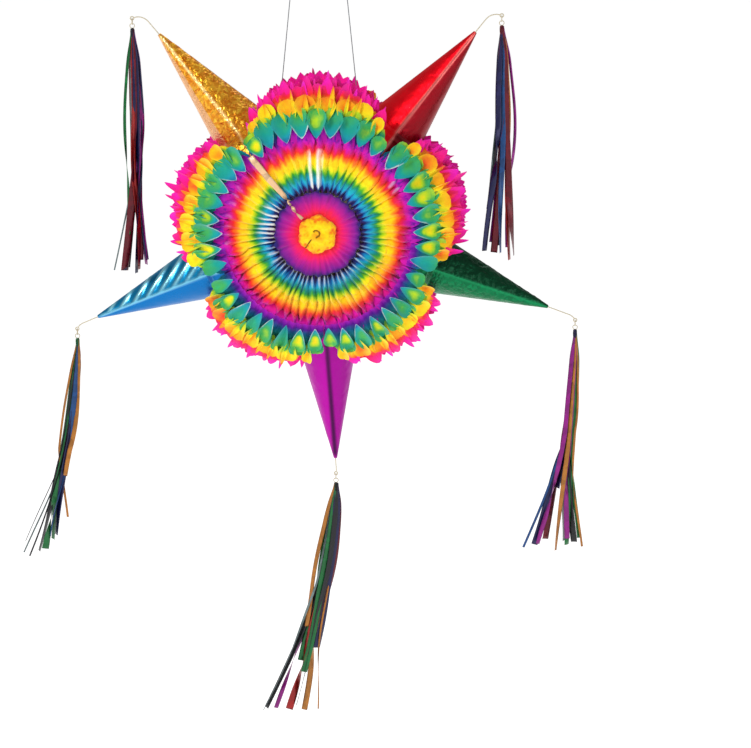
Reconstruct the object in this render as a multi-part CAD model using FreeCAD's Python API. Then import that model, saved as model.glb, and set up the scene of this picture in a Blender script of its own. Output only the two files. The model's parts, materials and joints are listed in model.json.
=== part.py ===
"""Five-pointed star pinata, hung by two lines from a D-ring.

A hollow card core (rim band and two domed shells) carries five foil-covered card cones. Ten fans of
honeycomb tissue cover both faces, one between each pair of cones. A foil tassel hangs from each cone.
Everything is laid out round the star's centre, in millimetres, with the star in the XZ plane and its
front facing -Y. On export it is moved so that the origin is where a hook bears inside the D-ring.
"""

import FreeCAD, Part
import math
import os

V = FreeCAD.Vector
ALONG_X, ALONG_Y, ALONG_Z = V(1, 0, 0), V(0, 1, 0), V(0, 0, 1)

# ---- star and core -------------------------------------------------------------------------------
TIP_RADIUS = 325.0  # star centre to a cone's tip
RIM_RADIUS = 148.0  # outside of the card rim band
RIM_HALF_WIDTH = 48.0  # half the band's width, front to back
DOME_RISE = 26.0  # how far each shell's middle stands out from the band's edge
SHELL_WALL = 2.5  # papier-mache and card wall
GLUE = 0.1  # glue line between pieces stuck together

# ---- cones: direction in degrees from +X; straight stem past the tip; how far and how tightly it bends -
CONES = {
    "red": {"angle": 51.0, "straight": 15.0, "turn": -68.0, "bend_r": 17.0},
    "gold": {"angle": 130.0, "straight": 15.0, "turn": 70.0, "bend_r": 17.0},
    "blue": {"angle": 203.5, "straight": 16.0, "turn": 36.0, "bend_r": 14.0},
    "purple": {"angle": 273.5, "straight": 8.0, "turn": -10.0, "bend_r": 30.0},
    "green": {"angle": 339.5, "straight": 24.0, "turn": -36.0, "bend_r": 14.0},
}
CONE_BASE_HALF_WIDTH = 41.1  # where it would meet the rim
CONE_DEPTH_SHARE = 0.92  # front-to-back size of a cone as a share of its width
CONE_BULGE = 0.6  # how far the four flanks bulge between their creases; 0.5 is flat
CONE_WALL = 1.1  # card
FOIL_WALL = 0.35  # foil paper wrapped over the card
CONE_TRIM = 6.0  # the card and foil stop this far short of the tip, round the stem
CONE_FOOT = 10.0  # length of cone cut away to fit the round rim
CONE_TIP_PLUG = 4.0  # length of solid card round the stem

# ---- stems with an eye at their end, one in each cone's tip ----------------------------------------
STEM_R = 0.7
STEM_HOLE_CLEARANCE = 0.2
STEM_INSIDE = 22.0  # length held inside the cone
STEM_KNOT_R = 2.2
EYE_R = 2.2  # middle of the eye's wire

# ---- tassels: fall of the strips, sideways drift of their ends, half width of the ends ---------------
TASSELS = {
    "red": {"fall": 310.0, "drift": 4.0, "half_width": 20.0},
    "gold": {"fall": 324.0, "drift": -3.0, "half_width": 22.0},
    "blue": {"fall": 314.0, "drift": -58.0, "half_width": 32.0},
    "purple": {"fall": 338.0, "drift": -60.0, "half_width": 38.0},
    "green": {"fall": 306.0, "drift": -26.0, "half_width": 38.0},
}
THREAD_R = 0.5
LOOP_R = 4.0  # tie loop, middle of its thread
LOOP_SLACK = 0.4
HEAD_RING_R = 3.0
HEAD_R = 2.6
HEAD_LENGTH = 12.0
STRIPS_HALF_DEPTH = 13.0

# ---- tissue fans and centre rosettes -----------------------------------------------------------------
FAN_OVERHANG = 56.0  # past the rim, in the middle of each fan
FAN_LOBE_R = 109.0  # roundness of a fan's outer edge
FAN_CLEARANCE = 0.4  # off the shells and the rim
FAN_EDGE_GAP = 0.35  # degrees, from a cone's direction to the fan's edge
FAN_INNER_HEIGHT = 12.0  # tissue above the shell at the fan's inner edge
FAN_CREST_INSET = 36.0  # in from the rim to where the tissue stands highest
FAN_CREST_HEIGHT = 40.0  # above the rim band's edge, there
FAN_TIP_FACE, FAN_TIP_BACK = 28.0, 18.0  # the outer edge's two distances from the star's plane
CONE_WINDOW_OUTSET = 7.0  # past the rim to where the fans leave the cones uncovered
CONE_WINDOW_CLEARANCE = 1.5
ROSETTE_FRONT_R, ROSETTE_FRONT_HEIGHT = 55.5, 10.0
ROSETTE_FAN_GAP = 1.5
ROSETTE_BACK_HEIGHT = 5.0
PUFF_FRONT_R, PUFF_FRONT_RISE = 25.0, 11.0
PUFF_BACK_R, PUFF_BACK_RISE = 19.0, 9.0
STREAMER_OUTER_R = 130.0
STREAMER_WIDTH, STREAMER_THICK, STREAMER_CLEARANCE = 7.0, 1.0, 1.2

# ---- filling hatch in the back shell -----------------------------------------------------------------
HATCH_R = 46.0
HATCH_GAP = 0.8
HATCH_FAN_GAP = 14.0  # room round the hatch's hole for it to open
HINGE_INSET = 4.0  # from the top of the round hole down to the hinge
HINGE_PIN_R = 1.25
HINGE_PIN_END_GAP = 1.75
HINGE_CLEARANCE = 0.35
HINGE_ROSETTE_GAP = 3.0  # from the hinge down to the rosette
TAB_WIDTH, TAB_THICK, TAB_REACH = 22.0, 0.8, 4.0  # the tab laps the shell below the hatch by its reach
TAB_CLEARANCE = 0.3

# ---- hanging gear --------------------------------------------------------------------------------------
LINE_R = 0.6
DOWEL_R = 3.0
DOWEL_BELOW_RIM = 24.0  # its axis below the rim's outside, at the top
DOWEL_END_GAP = 1.0
SADDLE_INSET = 5.0  # from the dowel's end to the middle of its saddle
SADDLE_THICK, SADDLE_HALF_WIDTH, SADDLE_DROP = 6.0, 9.0, 7.0
SADDLE_BORE_CLEARANCE = 0.1
LINE_CONE_GAP = 3.4  # from a line's foot to the red and gold cones, sideways
LINE_TOP_X = 26.5
BAR_HEIGHT = 388.0  # D-ring's straight bar, above the star's centre
TIE_SLACK = 0.3
TIE_KNOT_R, TIE_KNOT_LENGTH = 1.5, 5.0
SLOT_HALF_WIDTH, SLOT_HALF_LENGTH = 2.5, 7.0
RING_WIRE_R = 1.6
RING_HALF_WIDTH = 33.35  # to the middle of the wire
RING_CORNER_R = 5.0
RING_SHOULDER = 6.0  # height of the centre of the ring's round end above the bar

# ---- sizes that follow from those above ----------------------------------------------------------------
FAN_OUTER_R = RIM_RADIUS + FAN_OVERHANG
FAN_FRONT_INNER_R = ROSETTE_FRONT_R + ROSETTE_FAN_GAP
FAN_BACK_INNER_R = HATCH_R + HATCH_FAN_GAP
FAN_CREST_R = RIM_RADIUS - FAN_CREST_INSET
FAN_CREST = RIM_HALF_WIDTH + FAN_CREST_HEIGHT
CONE_WINDOW_R = RIM_RADIUS + CONE_WINDOW_OUTSET
HINGE_HEIGHT = HATCH_R - HINGE_INSET
HINGE_PIN_LENGTH = 2 * (math.sqrt(HATCH_R**2 - HINGE_HEIGHT**2) - HINGE_PIN_END_GAP)
ROSETTE_BACK_R = HINGE_HEIGHT - HINGE_ROSETTE_GAP
DOWEL_HEIGHT = RIM_RADIUS - DOWEL_BELOW_RIM
CONE_APEX_R = TIP_RADIUS + 1.0
CONE_SLOPE = CONE_BASE_HALF_WIDTH / (CONE_APEX_R - RIM_RADIUS)
CONE_RIM_ANGLE = math.degrees(math.asin((CONE_BASE_HALF_WIDTH + GLUE + FOIL_WALL) / RIM_RADIUS))
UPPER_CONE_ANGLE = max(CONES["red"]["angle"], 180 - CONES["gold"]["angle"])
LINE_FOOT_X = RIM_RADIUS * math.cos(math.radians(UPPER_CONE_ANGLE + CONE_RIM_ANGLE)) - LINE_CONE_GAP
DOWEL_REACH = math.sqrt((RIM_RADIUS - SHELL_WALL) ** 2 - (DOWEL_HEIGHT + DOWEL_R) ** 2)
DOWEL_HALF_LENGTH = DOWEL_REACH - DOWEL_END_GAP
SADDLE_AT = DOWEL_HALF_LENGTH - SADDLE_INSET
RING_TOP = BAR_HEIGHT + RING_SHOULDER + RING_HALF_WIDTH
STAR_Z = -(RING_TOP - RING_WIRE_R)  # star centre, below the hook's seat
DOME_SPHERE_R = (RIM_RADIUS**2 + DOME_RISE**2) / (2 * DOME_RISE)
DOME_CENTRE = RIM_HALF_WIDTH + DOME_RISE - DOME_SPHERE_R  # along Y, for the back shell
EVERYWHERE = 600.0  # larger than the object


# ---- small helpers -----------------------------------------------------------------------------------
def export(name, shape):
    """Writes one node, moved into the row frame."""
    placed = shape.copy()
    placed.translate(V(0, 0, STAR_Z))
    placed.exportStep(f"parts/{name}.step")


def radial(angle, radius, across=0.0, y=0.0):
    """The point at a radius along a direction in the star's plane, and a distance to its left."""
    a = math.radians(angle)
    return V(radius * math.cos(a) - across * math.sin(a), y, radius * math.sin(a) + across * math.cos(a))


def revolve(wire, start=0.0, sweep=360.0):
    """Turns a closed outline in (radius, y) about the star's Y axis, from an angle in the star's plane."""
    solid = Part.Face(wire).revolve(V(0, 0, 0), V(0, -1, 0), sweep)
    solid.rotate(V(0, 0, 0), V(0, -1, 0), start)
    return solid


def outline(*edges):
    return Part.Wire([e.toShape() for e in edges])


def line(a, b):
    return Part.LineSegment(V(*a, 0), V(*b, 0))


def arc(a, b, c):
    return Part.Arc(V(*a, 0), V(*b, 0), V(*c, 0))


def dome_y(radius, lift=0.0):
    """Distance of a shell's outer face from the star's plane, raised by lift along the sphere's radius."""
    return DOME_CENTRE + math.sqrt((DOME_SPHERE_R + lift) ** 2 - radius**2)


def torus(centre, axis, radius, tube):
    return Part.makeTorus(radius, tube, centre, axis)


def rod(a, b, radius):
    along = b - a
    return Part.makeCylinder(radius, along.Length, a, along)


def through_y(radius, near, far):
    """A cylinder round the star's Y axis."""
    return Part.makeCylinder(radius, far - near, V(0, near, 0), ALONG_Y)


def block(low, high):
    return Part.makeBox(high[0] - low[0], high[1] - low[1], high[2] - low[2], V(*low))


# ---- core ----------------------------------------------------------------------------------------------
def line_x(height):
    """Distance of each hanging line from the middle at a height above the star's centre."""
    share = (height - DOWEL_HEIGHT) / (BAR_HEIGHT - DOWEL_HEIGHT)
    return LINE_FOOT_X + share * (LINE_TOP_X - LINE_FOOT_X)


def rim_band():
    inner_r = RIM_RADIUS - SHELL_WALL
    band = through_y(RIM_RADIUS, -RIM_HALF_WIDTH + GLUE, RIM_HALF_WIDTH - GLUE)
    band = band.cut(through_y(inner_r, -RIM_HALF_WIDTH, RIM_HALF_WIDTH))
    slot_z = math.sqrt(RIM_RADIUS**2 - line_x(RIM_RADIUS) ** 2)
    for side in (-1, 1):
        x = side * line_x(slot_z)
        band = band.cut(
            block(
                (x - SLOT_HALF_WIDTH, -SLOT_HALF_LENGTH, DOWEL_HEIGHT),
                (x + SLOT_HALF_WIDTH, SLOT_HALF_LENGTH, RIM_RADIUS + SHELL_WALL),
            )
        )
    return band


def dome():
    """The back shell before its hatch is cut; the front shell is its mirror image."""
    inner_sphere = DOME_SPHERE_R - SHELL_WALL
    foot_r = math.sqrt(inner_sphere**2 - (RIM_HALF_WIDTH - DOME_CENTRE) ** 2)
    half = RIM_RADIUS / 2
    top = RIM_HALF_WIDTH + DOME_RISE
    return revolve(
        outline(
            arc((RIM_RADIUS, RIM_HALF_WIDTH), (half, dome_y(half)), (0, top)),
            line((0, top), (0, top - SHELL_WALL)),
            arc((0, top - SHELL_WALL), (half, dome_y(half, -SHELL_WALL)), (foot_r, RIM_HALF_WIDTH)),
            line((foot_r, RIM_HALF_WIDTH), (RIM_RADIUS, RIM_HALF_WIDTH)),
        )
    )


def to_front(shape):
    return shape.mirror(V(0, 0, 0), ALONG_Y)


def hinge_y():
    return dome_y(HINGE_HEIGHT) - HINGE_PIN_R


def hatch_prism(radius, top):
    """The hatch's outline, a circle with a straight top edge, as a long prism."""
    prism = through_y(radius, RIM_HALF_WIDTH, RIM_HALF_WIDTH + EVERYWHERE)
    return prism.common(
        block((-EVERYWHERE, 0, -EVERYWHERE), (EVERYWHERE, 2 * EVERYWHERE, top))
    )


def hinge_cylinder(radius, length):
    return Part.makeCylinder(radius, length, V(-length / 2, hinge_y(), HINGE_HEIGHT), ALONG_X)


def back_shell():
    shell = dome().cut(hatch_prism(HATCH_R, HINGE_HEIGHT))
    return shell.cut(hinge_cylinder(HINGE_PIN_R + GLUE, HINGE_PIN_LENGTH + 2 * GLUE))


def fill_hatch():
    top = HINGE_HEIGHT - HINGE_PIN_R - HINGE_CLEARANCE
    return dome().common(hatch_prism(HATCH_R - HATCH_GAP, top))


def pull_tab():
    """A card tab on the hatch's outside, whose end laps the shell and stops the hatch falling in."""
    lap_end = -(HATCH_R + TAB_REACH)
    high = -(ROSETTE_BACK_R + TAB_CLEARANCE)
    near = dome_y(high) + GLUE
    return block((-TAB_WIDTH / 2, near, lap_end), (TAB_WIDTH / 2, near + TAB_THICK, high))


# ---- cones ---------------------------------------------------------------------------------------------
def cone_half_width(radius, offset=0.0):
    return (CONE_APEX_R - radius) * CONE_SLOPE + offset


def cone_section(angle, radius, offset):
    """The eight-cornered section of a cone: creases front, back and at both sides, flanks bulging between."""
    w = cone_half_width(radius, offset)
    h = CONE_DEPTH_SHARE * w
    b = CONE_BULGE
    corners = [(w, 0), (b * w, b * h), (0, h), (-b * w, b * h), (-w, 0), (-b * w, -b * h), (0, -h), (b * w, -b * h)]
    return Part.makePolygon([radial(angle, radius, t, y) for t, y in corners + corners[:1]])


def cone_solid(angle, offset, start, end):
    return Part.makeLoft([cone_section(angle, start, offset), cone_section(angle, end, offset)], True, True)


def cone_layer(angle, outer, inner, hollow_to):
    """A thin cone between two offsets, its foot cut to sit on the round rim band."""
    foot_r = RIM_RADIUS - CONE_FOOT
    layer = cone_solid(angle, outer, foot_r, TIP_RADIUS - CONE_TRIM)
    layer = layer.cut(cone_solid(angle, inner, foot_r - CONE_WALL, hollow_to))
    layer = layer.cut(through_y(RIM_RADIUS + GLUE, -RIM_HALF_WIDTH, RIM_HALF_WIDTH))
    bore = rod(radial(angle, RIM_RADIUS), radial(angle, TIP_RADIUS), STEM_R + STEM_HOLE_CLEARANCE)
    return layer.cut(bore)


def stem_bend(cone):
    """Start, middle and end of the stem's bend past the tip, and its direction where it ends."""
    start = radial(cone["angle"], TIP_RADIUS + cone["straight"])
    side = math.copysign(90, cone["turn"])
    centre = start + radial(cone["angle"] + side, cone["bend_r"])
    middle = centre + radial(cone["angle"] - side + cone["turn"] / 2, cone["bend_r"])
    end = centre + radial(cone["angle"] - side + cone["turn"], cone["bend_r"])
    return start, middle, end, cone["angle"] + cone["turn"]


def stem_eye(cone):
    _, _, end, direction = stem_bend(cone)
    return end + radial(direction, EYE_R)


def stem(cone):
    """A stiff twisted stem through the cone's tip, with a knot inside and an eye outside."""
    inner_end = radial(cone["angle"], TIP_RADIUS - CONE_TRIM - STEM_INSIDE)
    start, middle, end, _ = stem_bend(cone)
    path = Part.Wire([Part.LineSegment(inner_end, start).toShape(), Part.Arc(start, middle, end).toShape()])
    section = Part.Wire([Part.Circle(inner_end, start - inner_end, STEM_R).toShape()])
    shape = path.makePipeShell([section], True, False)
    shape = shape.fuse(torus(stem_eye(cone), ALONG_Y, EYE_R, STEM_R))
    return shape.fuse(Part.makeSphere(STEM_KNOT_R, inner_end))


# ---- tassels -------------------------------------------------------------------------------------------
def below(point, drop, drift=0.0):
    return V(point.x + drift, point.y, point.z - drop)


def swing_drop():
    """From an eye's centre down to the axis on which the tassel's own ring turns in the tie loop."""
    return 2 * LOOP_R - 2 * THREAD_R - LOOP_SLACK


def tie_loop(eye):
    return torus(below(eye, LOOP_R), ALONG_X, LOOP_R, THREAD_R)


def tassel_head(eye):
    ring_drop = swing_drop() + HEAD_RING_R
    head_top = below(eye, ring_drop + HEAD_RING_R - THREAD_R / 2)
    ring = torus(below(eye, ring_drop), ALONG_Y, HEAD_RING_R, THREAD_R)
    return ring.fuse(rod(head_top, below(head_top, HEAD_LENGTH), HEAD_R))


def ellipse_wire(centre, half_width, half_depth):
    flat = half_width >= half_depth
    curve = Part.Ellipse(V(0, 0, 0), max(half_width, half_depth), min(half_width, half_depth))
    wire = Part.Wire([curve.toShape()])
    if not flat:
        wire.rotate(V(0, 0, 0), ALONG_Z, 90)
    wire.translate(centre)
    return wire


def tassel_strips(eye, fall, drift, half_width):
    """The outer shape of the hanging strips: narrow under the head and spreading towards their ends."""
    top = swing_drop() + 2 * HEAD_RING_R - THREAD_R / 2 + HEAD_LENGTH + GLUE
    spread = {0.0: (2.2, 2.0), 0.12: (5.0, 4.0), 0.5: (12.0, 9.0), 1.0: (half_width, STRIPS_HALF_DEPTH)}
    sections = [
        ellipse_wire(below(eye, top + share * (fall - top), drift * share**1.3), w, d)
        for share, (w, d) in spread.items()
    ]
    return Part.makeLoft(sections, True, True)


# ---- tissue --------------------------------------------------------------------------------------------
def fan_face_arc(inner_r):
    """Start, middle and end of the arc that a fan's outer face follows."""
    start = (inner_r, dome_y(inner_r) + FAN_INNER_HEIGHT)
    return start, (FAN_CREST_R, FAN_CREST), (FAN_OUTER_R, FAN_TIP_FACE)


def arc_circle(a, b, c):
    circle = Part.Arc(V(*a, 0), V(*b, 0), V(*c, 0)).toShape().Curve
    return circle.Center, circle.Radius


def fan(inner_r, start_angle, end_angle):
    """A back fan between two cones: tissue on the shell, then an apron past the rim with cone windows."""
    edge_y = RIM_HALF_WIDTH + FAN_CLEARANCE
    face_start, face_mid, face_end = fan_face_arc(inner_r)
    mid_r = (inner_r + RIM_RADIUS) / 2
    sweep = (end_angle - start_angle) % 360 - 2 * FAN_EDGE_GAP
    pad = revolve(
        outline(
            arc(face_start, face_mid, face_end),
            line(face_end, (FAN_OUTER_R, FAN_TIP_BACK)),
            line((FAN_OUTER_R, FAN_TIP_BACK), (RIM_RADIUS, edge_y)),
            arc(
                (RIM_RADIUS, edge_y),
                (mid_r, dome_y(mid_r, FAN_CLEARANCE)),
                (inner_r, dome_y(inner_r, FAN_CLEARANCE)),
            ),
            line((inner_r, dome_y(inner_r, FAN_CLEARANCE)), face_start),
        ),
        start_angle + FAN_EDGE_GAP,
        sweep,
    )
    for angle in (start_angle, end_angle):
        pad = pad.cut(cone_window(angle))
    lobe_centre = radial(start_angle + FAN_EDGE_GAP + sweep / 2, FAN_OUTER_R - FAN_LOBE_R)
    return pad.common(Part.makeCylinder(FAN_LOBE_R, EVERYWHERE, lobe_centre, ALONG_Y))


def cone_window(angle):
    """The space before and behind a cone that the tissue leaves open."""
    w = cone_half_width(CONE_WINDOW_R, CONE_WINDOW_CLEARANCE + FOIL_WALL)
    end = CONE_APEX_R + CONE_WINDOW_CLEARANCE / CONE_SLOPE
    corners = [
        radial(angle, CONE_WINDOW_R, -w, -EVERYWHERE),
        radial(angle, CONE_WINDOW_R, w, -EVERYWHERE),
        radial(angle, end, 0, -EVERYWHERE),
    ]
    return Part.Face(Part.makePolygon(corners + corners[:1])).extrude(V(0, 2 * EVERYWHERE, 0))


def rosette(radius, height):
    """A tissue disc on a shell's outer face, flat on its own face."""
    face = RIM_HALF_WIDTH + DOME_RISE + height
    half = radius / 2
    return revolve(
        outline(
            line((0, face), (radius, face)),
            line((radius, face), (radius, dome_y(radius, GLUE))),
            arc((radius, dome_y(radius, GLUE)), (half, dome_y(half, GLUE)), (0, dome_y(0, GLUE))),
            line((0, dome_y(0, GLUE)), (0, face)),
        )
    )


def puff(radius, rise, disc_height):
    """The crumpled paper ball in a rosette's middle, as a cap of a sphere."""
    foot = RIM_HALF_WIDTH + DOME_RISE + disc_height + GLUE
    sphere_r = (radius**2 + rise**2) / (2 * rise)
    cap = Part.makeSphere(sphere_r, V(0, foot + rise - sphere_r, 0))
    return cap.common(through_y(EVERYWHERE, foot, foot + EVERYWHERE))


def gold_streamer():
    """A foil strip laid down the front from the gold cone's foot to the yellow puff."""
    centre, radius = arc_circle(*fan_face_arc(FAN_FRONT_INNER_R))
    rosette_face = RIM_HALF_WIDTH + DOME_RISE + ROSETTE_FRONT_HEIGHT
    end_r = PUFF_FRONT_R + STREAMER_CLEARANCE

    def level(r, lift):
        over_fan = centre.y + math.sqrt((radius + lift) ** 2 - (r - centre.x) ** 2)
        return max(over_fan, rosette_face + lift) if r < FAN_FRONT_INNER_R + STREAMER_WIDTH else over_fan

    steps = 9
    radii = [end_r + (STREAMER_OUTER_R - end_r) * i / steps for i in range(steps + 1)]
    low = [(r, level(r, STREAMER_CLEARANCE)) for r in radii]
    high = [(r, level(r, STREAMER_CLEARANCE + STREAMER_THICK)) for r in reversed(radii)]
    angle = CONES["gold"]["angle"]
    corners = [radial(angle, r, -STREAMER_WIDTH / 2, -y) for r, y in low + high]
    across = radial(angle, 0, STREAMER_WIDTH)
    return Part.Face(Part.makePolygon(corners + corners[:1])).extrude(across)


# ---- hanging gear --------------------------------------------------------------------------------------
def line_point(side, height):
    return V(side * line_x(height), 0, height)


def hanging_line(side):
    """One straight, taut line, from the top of its lower tie to the foot of its upper tie."""
    foot = DOWEL_HEIGHT + DOWEL_R + TIE_SLACK + 2 * LINE_R + TIE_KNOT_LENGTH
    head = BAR_HEIGHT - RING_WIRE_R - TIE_SLACK - 2 * LINE_R - TIE_KNOT_LENGTH
    length = (line_point(side, head) - line_point(side, foot)).Length
    shape = rod(line_point(side, foot), line_point(side, head), LINE_R)
    print(f"hanging line {length:.1f} mm, volume over section {shape.Volume / (math.pi * LINE_R**2):.1f}")
    return shape


def line_ties(height, held_r, direction):
    """Both lines' loops round a bar at a height, with a barrel knot on the side the lines leave."""
    loop_r = held_r + TIE_SLACK + LINE_R
    ties = []
    for side in (-1, 1):
        eye = line_point(side, height)
        knot_start = height + direction * (loop_r + LINE_R / 2)
        knot_end = height + direction * (loop_r + LINE_R + TIE_KNOT_LENGTH)
        knot = rod(line_point(side, knot_start), line_point(side, knot_end), TIE_KNOT_R)
        ties.append(torus(eye, ALONG_X, loop_r, LINE_R).fuse(knot))
    return Part.makeCompound(ties)


def dowel():
    return Part.makeCylinder(
        DOWEL_R, 2 * DOWEL_HALF_LENGTH, V(-DOWEL_HALF_LENGTH, 0, DOWEL_HEIGHT), ALONG_X
    )


def dowel_saddles():
    """Two card saddles glued inside the rim band that carry the dowel's ends."""
    inside = through_y(RIM_RADIUS - SHELL_WALL - GLUE, -RIM_HALF_WIDTH, RIM_HALF_WIDTH)
    bore = Part.makeCylinder(
        DOWEL_R + SADDLE_BORE_CLEARANCE, 4 * DOWEL_HALF_LENGTH, V(-2 * DOWEL_HALF_LENGTH, 0, DOWEL_HEIGHT), ALONG_X
    )
    saddles = []
    for side in (-1, 1):
        middle = side * SADDLE_AT
        raw = block(
            (middle - SADDLE_THICK / 2, -SADDLE_HALF_WIDTH, DOWEL_HEIGHT - SADDLE_DROP),
            (middle + SADDLE_THICK / 2, SADDLE_HALF_WIDTH, RIM_RADIUS),
        )
        saddles.append(raw.common(inside).cut(bore))
    return Part.makeCompound(saddles)


def d_ring():
    """A welded wire D-ring: a straight bar below, rounded corners, short sides and a round end above."""
    w, c, s = RING_HALF_WIDTH, RING_CORNER_R, RING_SHOULDER
    k = c * (1 - math.sqrt(0.5))

    def at(x, up):
        return V(x, 0, BAR_HEIGHT + up)

    slant = w * math.sqrt(0.5)
    path = Part.Wire(
        [
            Part.LineSegment(at(0, 0), at(w - c, 0)).toShape(),
            Part.Arc(at(w - c, 0), at(w - k, k), at(w, c)).toShape(),
            Part.LineSegment(at(w, c), at(w, s)).toShape(),
            Part.Arc(at(w, s), at(slant, s + slant), at(0, s + w)).toShape(),
        ]
    )
    section = Part.Wire([Part.Circle(at(0, 0), ALONG_X, RING_WIRE_R).toShape()])
    right = path.makePipeShell([section], True, False)
    left = right.mirror(at(0, 0), ALONG_X)
    return right.fuse(left).removeSplitter()


# ---- build every node ------------------------------------------------------------------------------------
def cones_and_tassels():
    for colour, cone in CONES.items():
        angle = cone["angle"]
        eye = stem_eye(cone)
        card_end = TIP_RADIUS - CONE_TRIM
        export(f"{colour}_cone_card", cone_layer(angle, 0.0, -CONE_WALL, card_end - CONE_TIP_PLUG))
        export(f"{colour}_cone_foil", cone_layer(angle, GLUE + FOIL_WALL, GLUE, card_end + CONE_WALL))
        export(f"{colour}_cone_stem", stem(cone))
        export(f"{colour}_tie_loop", tie_loop(eye))
        export(f"{colour}_tassel_head", tassel_head(eye))
        export(f"{colour}_tassel_strips", tassel_strips(eye, **TASSELS[colour]))
        print(f"{colour} eye {tuple(round(v, 2) for v in (eye.x, eye.y, eye.z + STAR_Z))}")


def fans():
    gaps = {
        "top": ("red", "gold"),
        "left": ("gold", "blue"),
        "lower_left": ("blue", "purple"),
        "lower_right": ("purple", "green"),
        "right": ("green", "red"),
    }
    for place, (first, last) in gaps.items():
        start, end = CONES[first]["angle"], CONES[last]["angle"]
        export(f"front_fan_{place}", to_front(fan(FAN_FRONT_INNER_R, start, end)))
        export(f"back_fan_{place}", fan(FAN_BACK_INNER_R, start, end))


def main():
    os.makedirs("parts", exist_ok=True)
    export("rim_band", rim_band())
    export("front_shell", to_front(dome()))
    export("back_shell", back_shell())
    export("hatch_hinge_pin", hinge_cylinder(HINGE_PIN_R, HINGE_PIN_LENGTH))
    export("fill_hatch", fill_hatch())
    export("hatch_pull_tab", pull_tab())
    cones_and_tassels()
    fans()
    export("front_rosette", to_front(rosette(ROSETTE_FRONT_R, ROSETTE_FRONT_HEIGHT)))
    export("front_puff", to_front(puff(PUFF_FRONT_R, PUFF_FRONT_RISE, ROSETTE_FRONT_HEIGHT)))
    export("back_rosette", rosette(ROSETTE_BACK_R, ROSETTE_BACK_HEIGHT))
    export("back_puff", puff(PUFF_BACK_R, PUFF_BACK_RISE, ROSETTE_BACK_HEIGHT))
    export("gold_streamer", gold_streamer())
    export("anchor_dowel", dowel())
    export("dowel_saddles", dowel_saddles())
    export("hanging_line_left", hanging_line(-1))
    export("hanging_line_right", hanging_line(1))
    export("line_ties_bottom", line_ties(DOWEL_HEIGHT, DOWEL_R, 1))
    export("line_ties_top", line_ties(BAR_HEIGHT, RING_WIRE_R, -1))
    export("hanging_ring", d_ring())
    print(f"star centre {STAR_Z:.2f}, bar {BAR_HEIGHT + STAR_Z:.2f}, dowel {DOWEL_HEIGHT + STAR_Z:.2f}")
    print(f"hatch hinge y {hinge_y():.2f}, z {HINGE_HEIGHT + STAR_Z:.2f}; tassel axis {swing_drop():.2f} below")


main()
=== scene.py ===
import json
import math
import random
import bmesh
import bpy
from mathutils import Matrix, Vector, noise

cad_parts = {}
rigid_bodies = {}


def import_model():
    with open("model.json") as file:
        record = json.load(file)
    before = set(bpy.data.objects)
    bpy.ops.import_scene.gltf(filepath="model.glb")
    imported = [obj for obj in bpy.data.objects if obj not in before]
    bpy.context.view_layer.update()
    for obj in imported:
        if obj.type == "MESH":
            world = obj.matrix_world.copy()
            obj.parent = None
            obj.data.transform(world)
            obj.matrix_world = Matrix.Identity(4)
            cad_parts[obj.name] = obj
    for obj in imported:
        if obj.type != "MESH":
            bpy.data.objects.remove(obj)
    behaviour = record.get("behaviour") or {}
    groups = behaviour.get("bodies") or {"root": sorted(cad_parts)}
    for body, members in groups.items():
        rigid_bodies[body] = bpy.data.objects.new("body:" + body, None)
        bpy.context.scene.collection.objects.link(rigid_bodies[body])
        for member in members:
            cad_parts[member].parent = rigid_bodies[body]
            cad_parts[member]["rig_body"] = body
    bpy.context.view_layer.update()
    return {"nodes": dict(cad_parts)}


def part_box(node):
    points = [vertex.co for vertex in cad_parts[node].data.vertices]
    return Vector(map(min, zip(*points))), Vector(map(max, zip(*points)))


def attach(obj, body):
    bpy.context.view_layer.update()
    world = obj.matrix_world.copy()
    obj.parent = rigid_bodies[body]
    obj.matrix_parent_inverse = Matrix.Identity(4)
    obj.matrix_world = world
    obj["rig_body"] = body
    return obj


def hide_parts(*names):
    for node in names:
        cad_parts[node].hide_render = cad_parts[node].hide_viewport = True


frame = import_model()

nodes = frame["nodes"]
mm = 0.001
fullTurn = 2 * math.pi
axisX, axisY, axisZ = Vector((1, 0, 0)), Vector((0, 1, 0)), Vector((0, 0, 1))


def middleOf(node):
    low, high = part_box(node)
    return (Vector(low) + Vector(high)) / 2


starCentre = middleOf("rim_band")
rimRadius = (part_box("rim_band")[1][2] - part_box("rim_band")[0][2]) / 2 / mm


def starPoint(angle, radius, across=0.0, y=0.0):
    # a direction in the star's plane in degrees from +X; lengths in millimetres; y is negative at the front
    a = math.radians(angle)
    x = radius * math.cos(a) - across * math.sin(a)
    z = radius * math.sin(a) + across * math.cos(a)
    return starCentre + Vector((x, y, z)) * mm


def mix(a, b, share):
    return a + (b - a) * share


def smooth(low, high, value):
    t = max(0.0, min(1.0, (value - low) / (high - low)))
    return t * t * (3 - 2 * t)


def newBatch():
    return {"verts": [], "faces": [], "uvs": [], "mats": []}


def makeGrid(rows, cols, cellAt):
    # cellAt gives a cell's point and map values, and its own offset when the sheet isn't moved straight
    cells = [[cellAt(i, j) for j in range(cols)] for i in range(rows)]
    return [[[cell[k] for cell in row] for row in cells] for k in range(len(cells[0][0]))]


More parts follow.
